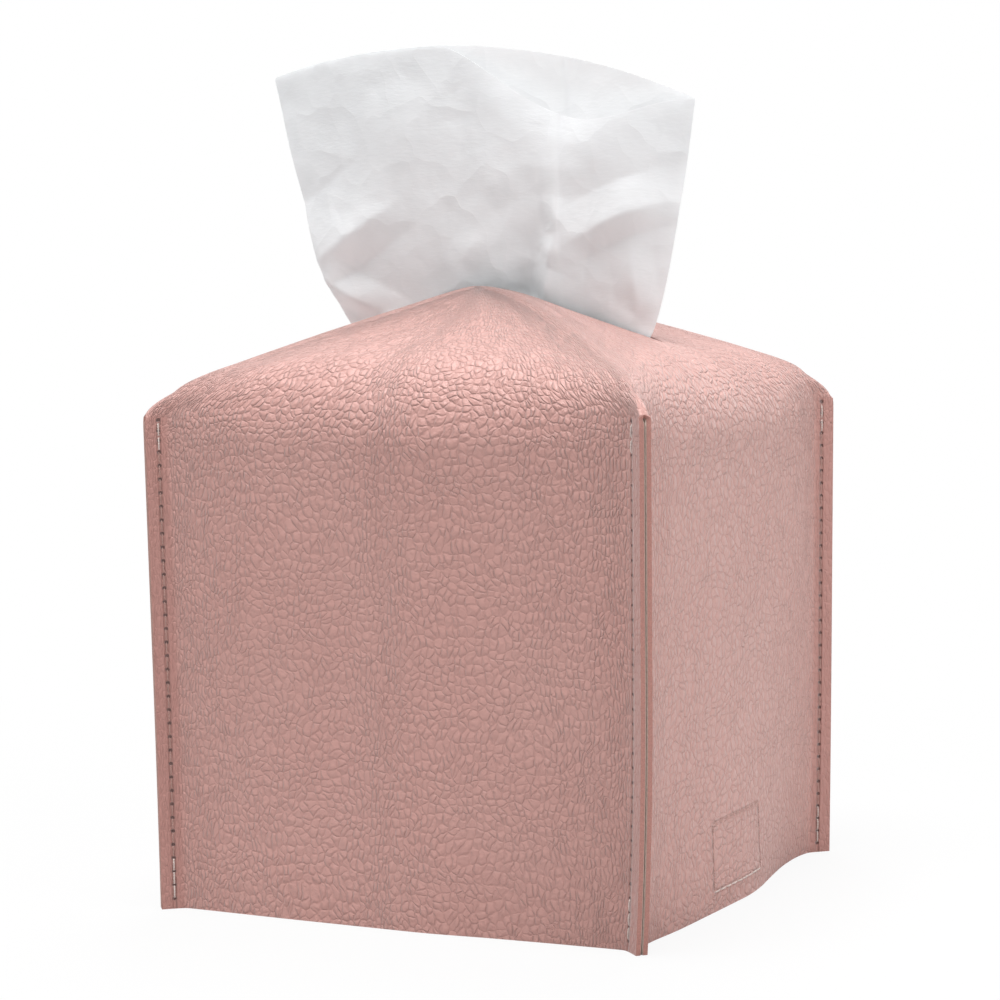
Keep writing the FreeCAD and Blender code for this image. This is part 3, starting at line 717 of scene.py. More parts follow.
def leather_sheet(material, recess):
    """The leather's outer face as one open sheet with grain coordinates. A recess draws its cut edges in."""
    path, across = np.meshgrid(leather_rows(), leather_columns(), indexing="ij")
    corner_height = profile(path)[3]
    sewn = corner_height < FOLD_START + FOLD_MARGIN
    across = np.where(sewn & (across > 1), across - (across - 1) * recess, across)
    points, faces, sheet, seam, grain = [], [], [], [], []
    crease = half_at(np.minimum(path, SEAM_TOP)) - ROOT2 * SEAM_HALF
    run = np.where(across < 1, across * crease, crease + (across - 1) * FLANGE)
    near_crease = (run - crease + CREASE_SMOOTH_BEFORE) / CREASE_SMOOTH_OVER
    near_ridge = (across - RIDGE_SMOOTH_FROM) / RIDGE_SMOOTH_OVER
    smoothed = smooth(np.where(sewn, near_crease, near_ridge))
    relief = RELIEF_WALL + RELIEF_ROOF_MORE * smooth((corner_height - RELIEF_FROM) / RELIEF_OVER)
    beyond = np.stack([np.abs(run) - LOOP_LENGTH / 2,
                       np.abs(path - LOOP_FOOT - LOOP_WIDTH / 2) - LOOP_WIDTH / 2]) + STITCH_INSET
    patch = np.hypot(*np.maximum(beyond, 0)) + np.minimum(beyond.max(0), 0)
    for quarter in range(4):
        for side in (1, -1):
            start = len(points) * path.size
            points.append(cover_points(quarter, side, path, across).reshape(-1, 3))
            faces.append(grid_faces(*path.shape, start, flip=side < 0))
            stretch = side * run * (1 + CORNER_STRETCH * (run / TOP_HALF) ** 4)
            if QUARTERS[quarter] == "front":
                crowded = np.tanh((side * run - FRONT_CREASE_X) / FRONT_CREASE_REACH)
                stretch = stretch + FRONT_CREASE_CROWDING * crowded
            wide = SIDE_GRAIN_SHARE if quarter % 2 else 1.0
            flat = np.stack([wide * stretch + SHEET_SHIFT * quarter, path * SHEET_TALL_SHARE], -1)
            sheet.append(flat.reshape(-1, 2))
            stitch_line = STITCH_LINES[quarter if side > 0 else quarter - 1]
            off_line = np.where(corner_height > FOLD_START, FAR_FROM_SEAM, run - crease - stitch_line)
            sewn_patch = (np.abs(patch) < np.abs(off_line)) & (quarter % 2 == 1)
            off = np.where(sewn_patch, patch, off_line)
            up = np.where(sewn_patch, STITCH / 2, path - SEAM_END)
            seam.append(np.stack([off, up], -1).reshape(-1, 2))
            grain.append((relief * (1 - SEAM_SMOOTHING * smoothed)).ravel())
    obj = new_object("leather_cover", np.concatenate(points), np.concatenate(faces), material)
    grain_layers(obj, np.concatenate(sheet), np.concatenate(seam), np.concatenate(grain))
    shape = bmesh.new()
    shape.from_mesh(obj.data)
    bmesh.ops.remove_doubles(shape, verts=shape.verts, dist=MERGE_DISTANCE * MM)
    bmesh.ops.dissolve_degenerate(shape, edges=shape.edges, dist=LEAST_EDGE * MM)
    shape.to_mesh(obj.data)
    shape.free()
    return obj


def leather_cover():
    backing = fibre_material("leather_backing")
    cover = leather_sheet(leather_material(), 0)
    cover.data.materials.append(fibre_material("leather_cut_edge"))
    cover.data.materials.append(backing)
    crisp(thickened(cover, SKIN, **LINED), CRISP_ANGLE)
    piece(cover, "cover", "pink_leather", "leather_shell")
    lining = leather_sheet(backing, BACKING_RECESS_SHARE)
    lining.name = "leather_backing"
    pushed_in(lining, SKIN)
    thickened(lining, BACKING)
    piece(lining, "cover", "pink_leather", "leather_shell")


def pushed_in(obj, depth):
    """Moves a sheet inward by a depth along its normals."""
    mesh = obj.data
    places = np.zeros(len(mesh.vertices) * 3)
    normals = np.zeros(len(mesh.vertices) * 3)
    mesh.vertices.foreach_get("co", places)
    mesh.vertex_normals.foreach_get("vector", normals)
    mesh.vertices.foreach_set("co", places - normals * depth * MM)
    mesh.update()


leather_cover()

# Tissue standing in the slot, two plies that part at the upper right

TISSUE_TOP = box_mm("pulled_tissue")[1][2]
TOP_MARGIN, FRONT_LOWER = 0.4, 0.5
PEAK_X = -17.0
TOP_LEFT, TOP_RIGHT = -67.7, 54.6
ARCH_LEFT, ARCH_RIGHT = 0.00171, 0.00324
NECK_LEFT, NECK_RIGHT = -38.7, 41.0
NECK_SINK = 1.0
SPREAD_POWER_LEFT, SPREAD_POWER_RIGHT = 0.55, 0.68
TAIL_HALF = 40.0
TAIL_NARROW_Z = CARTON_HIGH[2] + 2.0
TAIL_FOOT = PILE_HIGH[2] + 0.3
LOBE = 8.0
LOBE_RIGHT_SHARE = 0.45
LOBE_FOLD_X = 18.0
LOBE_POWER = 0.8
SLOT_ROOM_SHARE = 0.7
IN_SLOT_FADE, OVER_SLOT_FADE = 6.0, 14.0
BACK_FOLD_SHARE = 0.86
FOLD_BLUNTNESS = 0.003
LIP_START, LIP_END = -12.0, 54.6
LIP_DIP = 14.6
LIP_POWER = 1.35
LIP_BULGE = 1.8
LIP_BULGE_DROP, LIP_BULGE_WIDTH = 7.0, 9.0
LIP_HOLLOW = 3.0
HOLLOW_FROM, HOLLOW_OVER, HOLLOW_ABOVE, HOLLOW_FADE = 178.0, 14.0, 2.0, 16.0
PLY = 0.06
PLY_GAP = 0.4
PLY_GAP_RATE, PLY_GAP_START = 6.0, 0.4
RIPPLE, RIPPLE_FINE_SHARE = 0.22, 0.5
RIPPLES = ((7.3, 11.0, 0.0), (-19.0, 8.1, 0.0), (3.7, -5.1, 1.0))
PLEAT = 1.3
PLEAT_PITCH = 9.0
PLEAT_WANDER, PLEAT_WANDER_RUN = 2.3, 8.3
PLEAT_DRIFT, PLEAT_DRIFT_WAVE = 0.5, (14.0, 9.0, 0.0)
PLEAT_EVEN, PLEAT_UNEVEN, PLEAT_UNEVEN_RUN = 0.62, 0.38, 6.1
PLEAT_SWAY, PLEAT_SWAY_RUN = 3.0, 5.7
PLEAT_END_SHARE = 0.93
PLEAT_START = 13.0
PLEAT_FADE = 9.0
TISSUE_COLUMNS = 150
TISSUE_ROWS = 96
TAIL_ROWS = 26

# Folds of the tissue as seen from the front: a bent line, its widths on the left and right of the way along it,
# how far it stands forward, and the shares of its length over which it rises and fades
FOLDS = (
    (((-60, 159.5), (-52, 164), (-40, 171), (-22, 181.5)), 16.0, 8.0, 4.6, 0.4, 0.45),
    (((-57, 161), (-45.6, 154.4), (-24, 143)), 7.0, 4.0, 3.2, 0.4, 0.2),
    (((-16, 142), (-10.5, 161), (-3, 171)), 6.0, 4.0, 1.1, 0.3, 0.4),
    (((3, 138), (7, 152), (10, 176)), 7.0, 6.0, -7.0, 0.01, 0.75),
    (((17, 190), (16.5, 177.1), (16.9, 168.1), (14.6, 161.1), (12, 138)), 10.0, 4.5, 2.8, 0.4, 0.2),
    (((14, 163), (30, 170), (37, 172.5), (53, 176.5)), 9.0, 5.5, 2.8, 0.4, 0.35),
    (((36.6, 174), (38.4, 150), (40, 128)), 6.0, 6.0, 1.7, 0.4, 0.2),
    (((-68, 199), (-44, 190), (-14, 196)), 16.0, 14.0, 0.8, 0.3, 0.3),
    (((-32, 146), (-26, 180), (-22, 216)), 18.0, 16.0, 1.2, 0.3, 0.3),
    (((-10, 177), (8, 186), (30, 183)), 10.0, 7.0, 0.6, 0.3, 0.3),
)


def fold_form(x, z, places, left_width, right_width, rises, fades):
    """Share of a fold's height at each point: a crease along a bent line that fades at its ends."""
    gap, run, width = np.full_like(x, np.inf), np.zeros_like(x), np.ones_like(x)
    for step, ((ax, az), (bx, bz)) in enumerate(zip(places, places[1:])):
        ahead, up = bx - ax, bz - az
        share = np.clip(((x - ax) * ahead + (z - az) * up) / (ahead ** 2 + up ** 2), 0, 1)
        off = np.hypot(x - ax - share * ahead, z - az - share * up)
        on_left = ahead * (z - az) - up * (x - ax) > 0
        nearer = off < gap
        run = np.where(nearer, (step + share) / (len(places) - 1), run)
        width = np.where(nearer, np.where(on_left, left_width, right_width), width)
        gap = np.minimum(off, gap)
    form = np.maximum(1 - np.sqrt((gap / width) ** 2 + FOLD_BLUNTNESS), 0)
    return form * smooth(run / rises) * smooth((1 - run) / fades)


def lip_share(x):
    """How far along the parted lip of the tissue a place is: 1 at its middle, 0 past its ends."""
    return np.sin(math.pi * np.clip((x - LIP_START) / (LIP_END - LIP_START), 0, 1)) ** LIP_POWER


def wave(x, z, run_x, run_z, phase):
    return np.sin(x / run_x + z / run_z + phase)


def tissue_ply(front):
    """One ply as a grid of points: the tail in the slot, then the fan above it."""
    u = np.linspace(0, 1, TISSUE_COLUMNS)
    neck_x = NECK_LEFT + (NECK_RIGHT - NECK_LEFT) * u
    top_x = TOP_LEFT + (TOP_RIGHT - TOP_LEFT) * u
    neck_z = ROOF_PEAK - math.tan(SLOPE) * np.sqrt(neck_x ** 2 + CROWN_ROUND ** 2) - NECK_SINK
    arch = np.where(top_x < PEAK_X, ARCH_LEFT, ARCH_RIGHT)
    top_z = TISSUE_TOP - TOP_MARGIN - arch * (top_x - PEAK_X) ** 2
    if front:
        top_z = top_z - LIP_DIP * lip_share(top_x) - FRONT_LOWER
    tail = np.linspace(-1, 0, TAIL_ROWS)[:-1, None]
    rise = np.linspace(0, 1, TISSUE_ROWS)[:, None]
    spread = SPREAD_POWER_LEFT + (SPREAD_POWER_RIGHT - SPREAD_POWER_LEFT) * u
    fan_x = neck_x + (top_x - neck_x) * rise ** spread
    fan_z = neck_z + (top_z - neck_z) * rise
    tail_z = neck_z + (neck_z - TAIL_FOOT) * tail
    narrow = smooth((neck_z - tail_z) / np.maximum(neck_z - TAIL_NARROW_Z, 1))
    tail_x = neck_x + ((2 * u - 1) * TAIL_HALF - neck_x) * narrow
    x = np.concatenate([tail_x, fan_x])
    z = np.concatenate([tail_z, fan_z])
    share = np.concatenate([tail * 0 * u, rise * np.ones_like(u)])
    left = x[:, :1]
    right = x[:, -1:]
    left_lobe = np.sin(math.pi * np.clip((x - left) / (LOBE_FOLD_X - left), 0, 1))
    right_lobe = np.sin(math.pi * np.clip((x - LOBE_FOLD_X) / (right - LOBE_FOLD_X), 0, 1))
    forward = LOBE * (left_lobe + LOBE_RIGHT_SHARE * right_lobe) * share ** LOBE_POWER
    room = np.clip(1 - (x / SLOT_HALF) ** 2, 0, 1) * SLOT_ROOM_SHARE
    above = z - (ROOF_PEAK - math.tan(SLOPE) * np.abs(x))
    in_slot = room * smooth((above + IN_SLOT_FADE) / IN_SLOT_FADE)
    open_share = np.maximum(in_slot, smooth(above / OVER_SLOT_FADE))
    ply_share = 1.0 if front else BACK_FOLD_SHARE
    for places, left_width, right_width, height, rises, fades in FOLDS:
        form = fold_form(x, z, places, left_width, right_width, rises, fades)
        forward = forward + ply_share * height * form * open_share
    lip = lip_share(np.broadcast_to(top_x, x.shape))
    if front:
        under = (top_z - z - LIP_BULGE_DROP) / LIP_BULGE_WIDTH
        forward = forward + LIP_BULGE * lip * np.exp(-under ** 2) * (share > 0)
    else:
        forward = forward - PLY_GAP * smooth(share * PLY_GAP_RATE + PLY_GAP_START)
        hollow = smooth((z - HOLLOW_FROM) / HOLLOW_OVER) * smooth((TISSUE_TOP + HOLLOW_ABOVE - z) / HOLLOW_FADE)
        forward = forward - LIP_HOLLOW * lip * hollow
    first, second, fine = (wave(x, z, *ripple) for ripple in RIPPLES)
    forward = forward + RIPPLE * (first * second + RIPPLE_FINE_SHARE * fine) * open_share
    wander = PLEAT_WANDER * np.sin(x / PLEAT_WANDER_RUN + 0.8) + PLEAT_DRIFT * wave(x, z, *PLEAT_DRIFT_WAVE)
    strength = PLEAT * (PLEAT_EVEN + PLEAT_UNEVEN * np.sin(x / PLEAT_UNEVEN_RUN + 1.3))
    fade = 1 - smooth((above + PLEAT_START + PLEAT_SWAY * np.sin(x / PLEAT_SWAY_RUN + 2.0)) / PLEAT_FADE)
    pleat = strength * np.sin(2 * math.pi * x / PLEAT_PITCH + wander) * fade
    pleat = pleat * np.clip(PLEAT_END_SHARE - (x / SLOT_HALF) ** 2, 0, 1)
    return np.stack([x, -(forward + pleat), z], -1)


def pulled_tissue():
    paper = paper_material()
    for name, front in (("tissue_front_ply", True), ("tissue_back_ply", False)):
        obj = grid_object(name, tissue_ply(front), paper)
        crisp(thickened(obj, PLY, offset=0), CRISP_ANGLE)
        piece(obj, "tissue", "tissue", "pulled_tissue")


pulled_tissue()

# Threads, fastener tapes and strap

THREAD_PLY = 0.15
THREAD_TWIST = 0.11
TWIST_PITCH = 1.35
BACK_STITCH_RISE = 0.16
STITCH_DIP = 0.42
STITCH_ARCH = 0.4
THREAD_SIDES = 6
THREAD_STATIONS = 11


class Heap:
    """Points and faces gathered for one mesh."""

    def __init__(self):
        self.points = []
        self.faces = []
        self.finishes = []

    def add(self, points, faces, finish=0):
        start = len(self.points)
        self.points.extend(points)
        self.faces.extend([start + index for index in face] for face in faces)
        self.finishes.extend([finish] * len(faces))


def tube(heap, centres, normal, radius, sides, finish=0):
    """Tube along points, with closed ends; normal is a direction across all of it."""
    centres = np.asarray(centres, float)
    ahead = np.gradient(centres, axis=0)
    ahead /= np.linalg.norm(ahead, axis=1, keepdims=True)
    across = np.cross(ahead, normal)
    across /= np.linalg.norm(across, axis=1, keepdims=True)
    upward = np.cross(across, ahead)
    angle = np.linspace(0, 2 * math.pi, sides, endpoint=False)[None, :, None]
    round_ = np.cos(angle) * across[:, None] + np.sin(angle) * upward[:, None]
    points = (centres[:, None] + radius * round_).reshape(-1, 3)
    heap.add(points, capped_faces(len(centres), sides), finish)


def stitch(heap, start, end, normal, twice=False):
    """One stitch of twisted thread from hole to hole on a face."""
    share = np.linspace(0, 1, THREAD_STATIONS)[:, None]
    run = end - start
    length = np.linalg.norm(run)
    across = np.cross(normal, run / length)
    rise = STITCH_DIP + (BACK_STITCH_RISE if twice else 0.0)
    arch = np.sin(math.pi * share) ** STITCH_ARCH
    centre = start + run * share + normal * (arch * rise - STITCH_DIP)
    for ply in (0, math.pi):
        angle = 2 * math.pi * share * length / TWIST_PITCH + ply
        twist = THREAD_TWIST * (np.cos(angle) * normal + np.sin(angle) * across)
        tube(heap, centre + twist, normal, THREAD_PLY, THREAD_SIDES, int(twice))


def spaced(start, end):
    """Stitch holes from one place to another, both included."""
    start, end = np.asarray(start, float), np.asarray(end, float)
    count = max(1, round(np.linalg.norm(end - start) / STITCH))
    return [start + (end - start) * step / count for step in range(count + 1)]


def rectangle_holes(length, width, foot, inset):
    """Stitch holes round a patch, as places along the wall and up it."""
    half = length / 2 - inset
    low, high = foot + inset, foot + width - inset
    corners = [(-half, low), (half, low), (half, high), (-half, high), (-half, low)]
    holes = [np.array(corners[0], float)]
    for start, end in zip(corners, corners[1:]):
        holes += spaced(start, end)[1:]
    return np.array(holes)


def wall_spot(quarter, along, height, depth=0.0):
    """Place and normal in a wall's leather, a depth inside its outer face."""
    along, height = np.asarray(along, float), np.asarray(height, float)
    across = np.abs(along) / (half_at(height) - ROOT2 * SEAM_HALF)
    behind = (along < 0)[..., None]
    point, normal = (np.where(behind, find(quarter, -1, height, across), find(quarter, 1, height, across))
                     for find in (cover_points, cover_normals))
    return point - normal * depth, normal


def stitch_row(heap, points, normals, low_twice=0, high_twice=0):
    """Row of stitches; some at its low and high end are sewn twice, so they stand up and get the pale thread,
    while the rest get thread darkened with painted shade.
    """
    last = len(points) - 1
    for step in range(last):
        middle = normals[step] + normals[step + 1]
        twice = step < low_twice or step >= last - high_twice
        stitch(heap, points[step], points[step + 1], middle / np.linalg.norm(middle), twice)


def stitched(name, heap, materials):
    """Object from rows of stitches, in the thread darkened with painted shade and the pale thread."""
    obj = new_object(name, heap.points, heap.faces, materials)
    obj.data.polygons.foreach_set("material_index", heap.finishes)
    return obj


PATCH_LOW_STITCHES = 9
CORNER_SEAMS = ((0, "front_right"), (1, "rear_right"), (2, "rear_left"), (3, "front_left"))


def corner_seams(material):
    heights = np.array([spot[0] for spot in spaced([SEAM_END], [FOLD_START - SEAM_END / 2])])
    path = seam_path(heights)
    for quarter, name in CORNER_SEAMS:
        across = np.full_like(path, 1 + STITCH_LINES[quarter] / FLANGE)
        heap = Heap()
        for panel, side in ((quarter, 1), ((quarter + 1) % 4, -1)):
            stitch_row(heap, cover_points(panel, side, path, across), cover_normals(panel, side, path, across),
                       BACK_STITCHES_LOW, BACK_STITCHES_HIGH)
        obj = stitched(name + "_stitches", heap, material)
        piece(obj, "cover", "thread", name + "_seam_thread")


HOOK_LENGTH, HOOK_WIDTH, HOOK_FOOT, HOOK_ROUND = 29.0, 18.0, 4.5, 2.0
TAPE = 0.5
LOOP_TAPE, HOOK_TAPE = 1.5, 1.3
LOOP_PITCH, HOOK_PITCH = 1.15, 1.45
STITCH_SINK = 0.4
TAPE_SEAT = 0.02
TAPE_MARGIN, TAPE_END_MARGIN, TAPE_WANDER = 1.0, 0.9, 0.22
LOOP_SEED, HOOK_SEED = 11, 31
LOOP_GRID, HOOK_GRID, STRAP_GRID = (26, 18), (20, 14), (90, 18)
WIRE_RADIUS, WIRE_SIDES = 0.09, 4
LOOP_REACH, LOOP_SHORT, LOOP_STATIONS = 0.62, 0.25, 7
HOOK_ROOT, HOOK_STEM, HOOK_REACH, HOOK_CROWN = -0.05, 0.45, 0.22, 0.26
HOOK_TURN_SHARE, HOOK_STATIONS = 0.95, 5
CORNER_FIRST_ANGLE, CORNER_STEPS = 0.3, 6
STRAP = 1.3
STRAP_HALF = STRAP_HIGH[0]
STRAP_BEND = 2.6
STRAP_ROUND = 4.0
STRAP_WIDTH = STRAP_HIGH[1] - STRAP_LOW[1]
STRAP_LEG = STRAP_HIGH[2]


def rounded_grid(length, width, radius, columns, rows):
    """Grid over a plate with rounded corners, centred: places along it and across it."""
    corner = radius * (1 - np.cos(np.linspace(CORNER_FIRST_ANGLE, math.pi / 2, CORNER_STEPS)))
    run = np.concatenate([[0], corner, np.linspace(radius, length - radius, columns)[1:-1]])
    run = np.concatenate([run, length - run[CORNER_STEPS::-1]])
    run = np.unique(np.round(run, 6))
    near = np.clip(np.minimum(run, length - run), 0, radius)
    half = width / 2 - radius + np.sqrt(np.maximum(radius ** 2 - (radius - near) ** 2, 0))
    share = np.linspace(-1, 1, rows)
    return np.repeat(run[:, None] - length / 2, rows, 1), half[:, None] * share


def plate(name, points, thickness, material, flip=False):
    """Thickened sheet from a grid of points on its outer face."""
    return thickened(grid_object(name, points, material, flip), thickness)


def joined(name, first, heap, material):
    """One object from a plate and a heap of tubes."""
    mesh = first.data
    points = np.zeros(len(mesh.vertices) * 3)
    mesh.vertices.foreach_get("co", points)
    whole = Heap()
    whole.add(points.reshape(-1, 3) / MM, [list(face.vertices) for face in mesh.polygons])
    whole.add(heap.points, heap.faces)
    bpy.data.objects.remove(first)
    return new_object(name, whole.points, whole.faces, material)


def tape_spots(length, width, pitch, seed):
    """Places of loops or hooks over a tape, in rows with a little wander, and a turn for each."""
    chance = np.random.default_rng(seed)
    along, up = (np.arange(-size / 2 + TAPE_MARGIN, size / 2 - TAPE_END_MARGIN, pitch)
                 for size in (length, width))
    along, up = np.meshgrid(along, up, indexing="ij")
    wander = chance.uniform(-TAPE_WANDER, TAPE_WANDER, (2, along.size)) * pitch
    return along.ravel() + wander[0], up.ravel() + wander[1], chance.uniform(0, 2 * math.pi, along.size)


def tape_pieces(name, body, slot, base, heap, tape, rows, thread):
    """Seats a fastener tape and the stitches round it."""
    piece(joined(name.replace("patch", "tape"), base, heap, tape), body, slot, name)
    stitches = stitched(name.replace("patch", "stitches"), rows, thread)
    piece(stitches, body, "thread", name.replace("patch", "thread"))


def loop_tape(quarter, name, tape, thread):
    """Tape of small loops inside a side wall, sewn through the leather."""
    along, up = rounded_grid(LOOP_LENGTH, LOOP_WIDTH, LOOP_ROUND, *LOOP_GRID)
    middle = LOOP_FOOT + LOOP_WIDTH / 2
    points, _ = wall_spot(quarter, along, up + middle, LEATHER + TAPE_SEAT)
    base = plate(name + "_base", points, TAPE, tape, flip=True)
    heap = Heap()
    along, up, turn = tape_spots(LOOP_LENGTH, LOOP_WIDTH, LOOP_PITCH, LOOP_SEED + quarter)
    foot, normal = wall_spot(quarter, along, up + middle, LEATHER + TAPE)
    arc = np.linspace(0, math.pi, LOOP_STATIONS)[:, None]
    rise = LOOP_TAPE - TAPE - LOOP_SHORT
    for spot, out, angle in zip(foot, normal, turn):
        level = np.cross(out, (0, 0, 1))
        level /= np.linalg.norm(level)
        lean = math.cos(angle) * level + math.sin(angle) * np.cross(out, level)
        centres = spot + LOOP_REACH * np.cos(arc) * lean - rise * np.sin(arc) * out
        tube(heap, centres, np.cross(out, lean), WIRE_RADIUS, WIRE_SIDES)
    holes = rectangle_holes(LOOP_LENGTH, LOOP_WIDTH, LOOP_FOOT, STITCH_INSET)
    rows = Heap()
    for depth, way in ((0, 1), (LEATHER + LOOP_TAPE - STITCH_SINK, -1)):
        spots, normals = wall_spot(quarter, holes[:, 0], holes[:, 1], depth)
        stitch_row(rows, spots, normals * way, PATCH_LOW_STITCHES)
    tape_pieces(name, "cover", "loop_tape", base, heap, tape, rows, thread)


def hook_tape(way, name, tape, thread):
    """Tape of small hooks on a turned-up end of the strap: way is 1 at the right end, -1 at the left."""
    along, up = rounded_grid(HOOK_LENGTH, HOOK_WIDTH, HOOK_ROUND, *HOOK_GRID)
    middle = HOOK_FOOT + HOOK_WIDTH / 2
    out = np.array([way, 0.0, 0.0])

    def spot(y, z, depth):
        return np.stack([np.full_like(y, way * (STRAP_HALF + depth)), y, z], -1)

    base = plate(name + "_base", spot(along, up + middle, TAPE), TAPE - TAPE_SEAT, tape, flip=way > 0)
    heap = Heap()
    along, up, turn = tape_spots(HOOK_LENGTH, HOOK_WIDTH, HOOK_PITCH, HOOK_SEED + way)
    bend = np.linspace(0, math.pi * HOOK_TURN_SHARE, HOOK_STATIONS)[:, None]
    stem = np.linspace(HOOK_ROOT, HOOK_STEM, 3)[:, None] * out
    for foot, angle in zip(spot(along, up + middle, TAPE), turn):
        lean = np.array([0.0, math.copysign(1, math.cos(angle)), 0.0])
        curl = HOOK_STEM * out + HOOK_REACH * (1 - np.cos(bend)) * lean + HOOK_CROWN * np.sin(bend) * out
        centres = foot + np.concatenate([stem, curl[1:]])
        tube(heap, centres, np.array([0.0, 0.0, 1.0]), WIRE_RADIUS, WIRE_SIDES)
    holes = rectangle_holes(HOOK_LENGTH, HOOK_WIDTH, HOOK_FOOT, STITCH_INSET)
    rows = Heap()
    for depth, facing in ((HOOK_TAPE - STITCH_SINK, 1), (-STRAP, -1)):
        spots = spot(holes[:, 0], holes[:, 1], depth)
        stitch_row(rows, spots, np.repeat(out[None] * facing, len(spots), 0))
    tape_pieces(name, "strap", "hook_tape", base, heap, tape, rows, thread)


def strap_line(run):
    """Place on the strap's outer face at a run from its middle, in the plane of X and Z."""
    flat = STRAP_HALF - STRAP_BEND
    way = np.sign(run)
    past = np.abs(run) - flat
    angle = np.clip(past / STRAP_BEND, 0, math.pi / 2)
    x = np.where(past < 0, np.abs(run), flat + STRAP_BEND * np.sin(angle))
    z = STRAP_BEND * (1 - np.cos(angle)) + np.maximum(past - STRAP_BEND * math.pi / 2, 0)
    return way * x, z


def bottom_strap(material):
    """Strap under the carton, with its two ends turned up."""
    length = 2 * (STRAP_HALF - STRAP_BEND + STRAP_BEND * math.pi / 2 + STRAP_LEG - STRAP_BEND)
    run, across = rounded_grid(length, STRAP_WIDTH, STRAP_ROUND, *STRAP_GRID)
    x, z = strap_line(run)
    obj = grid_object("bottom_strap_leather", np.stack([x, across, z], -1), material)
    grain_layers(obj, np.stack([across + STRAP_SHEET_SHIFT, run], -1).reshape(-1, 2))
    obj.data.materials.append(bpy.data.materials["leather_cut_edge"])
    obj.data.materials.append(bpy.data.materials["leather_backing"])
    piece(thickened(obj, STRAP, **LINED), "strap", "pink_leather", "bottom_strap")


def sewn_pieces():
    thread = [fibre_material("sewing_thread"), fibre_material("sewing_thread_double")]
    tape = fibre_material("fastener_tape")
    corner_seams(thread)
    for quarter, side, way in ((1, "right", 1), (3, "left", -1)):
        loop_tape(quarter, side + "_loop_patch", tape, thread)
        hook_tape(way, side + "_hook_patch", tape, thread)
    bottom_strap(bpy.data.materials["pink_leather"])


sewn_pieces()

# Carton, film and pile of tissues

CARD = 0.6
CARD_BEND = 1.1
OPENING_MARGIN, OPENING_HALF_WIDTH = 7.5, 21.0
OPENING_HALF = (CARTON_HIGH[0] - OPENING_MARGIN, OPENING_HALF_WIDTH)
FLOOR_GAP_SHARE = 0.5
RING_STEPS = 192
BEND_STATIONS, CARTON_WALL_STATIONS, CARTON_TOP_STATIONS, FLAP_STATIONS = 5, 12, 9, 13
FOLDED_TISSUE, TISSUE_GAP = 2.0, 0.04
PILE_SEED = 5
PILE_DRAW = 1.6
PILE_SWAY, PILE_SWAY_RUN = 0.5, 17.0
PILE_STATIONS, PILE_ARC_STATIONS, PILE_FLAT_STATIONS = 15, 6, 9

# The band's edge and wander are in metres
CARD_SHADE = 0.94
BAND_EDGE, BAND_STRENGTH = (0.048, 0.05), 0.8
BAND_WANDER_SCALE, BAND_WANDER = 22.0, 0.02
FILM_ALPHA = 0.42
FILM_WRINKLE_SCALE, FILM_WRINKLE = 90.0, 0.4
FILM_HAZE = (0.3, 0.7, 0.18, 0.34)


def square_ring(half, radius):
    """Plan of a square with rounded corners, at even angles."""
    angle = np.linspace(0, 2 * math.pi, RING_STEPS, endpoint=False)
    ray = np.stack([np.cos(angle), np.sin(angle)], -1)
    reach = half / np.max(np.abs(ray), axis=1)
    plan = ray * reach[:, None]
    inner = half - radius
    past = np.abs(plan) - inner
    round_corner = (past > 0).all(axis=1)
    length = np.linalg.norm(past, axis=1, keepdims=True)
    pulled = np.sign(plan) * (inner + past / np.maximum(length, TINY) * radius)
    return np.where(round_corner[:, None], pulled, plan)


def oval_ring(half_length, half_width):
    angle = np.linspace(0, 2 * math.pi, RING_STEPS, endpoint=False)
    reach = 1 / np.sqrt((np.cos(angle) / half_length) ** 2 + (np.sin(angle) / half_width) ** 2)
    return np.stack([np.cos(angle), np.sin(angle)], -1) * reach[:, None]


def swept_rings(name, rings, material, thickness):
    """Sheet through closed rings of plan points, each with its height, thickened inward."""
    points = [np.concatenate([plan, np.full((len(plan), 1), height)], 1) for plan, height in rings]
    obj = new_object(name, np.concatenate(points), ring_faces(len(rings), RING_STEPS), material)
    return thickened(obj, thickness)


def carton_box(card):
    """Carton with rounded edges and an oval opening, and the flaps that close its floor."""
    half = CARTON_HIGH[0]
    low, high = CARTON_LOW[2], CARTON_HIGH[2]
    edge = square_ring(half - CARD_BEND, CARD_BEND)
    rings = [(square_ring(half * FLOOR_GAP_SHARE, CARD_BEND), low), (edge, low)]
    bends = [(CARD_BEND * (1 - math.sin(angle)), CARD_BEND * (1 - math.cos(angle)))
             for angle in np.linspace(0, math.pi / 2, BEND_STATIONS)[1:]]
    rings += [(square_ring(half - drawn, CARD_BEND), low + rise) for drawn, rise in bends]
    for height in np.linspace(low + CARD_BEND, high - CARD_BEND, CARTON_WALL_STATIONS)[1:]:
        rings.append((square_ring(half, CARD_BEND), height))
    rings += [(square_ring(half - drawn, CARD_BEND), high - rise) for rise, drawn in bends]
    opening = oval_ring(*OPENING_HALF)
    for share in np.linspace(0, 1, CARTON_TOP_STATIONS)[1:]:
        rings.append((edge + (opening - edge) * share, high))
    piece(swept_rings("carton_box", rings, card, CARD), "carton", "card", "tissue_carton")
    floor = np.linspace(-half + CARD, half - CARD, FLAP_STATIONS)
    along, across = np.meshgrid(floor, floor, indexing="ij")
    points = np.stack([along, across, np.full_like(along, low + 2 * CARD)], -1)
    piece(plate("carton_flaps", points, CARD, card), "carton", "card", "tissue_carton")


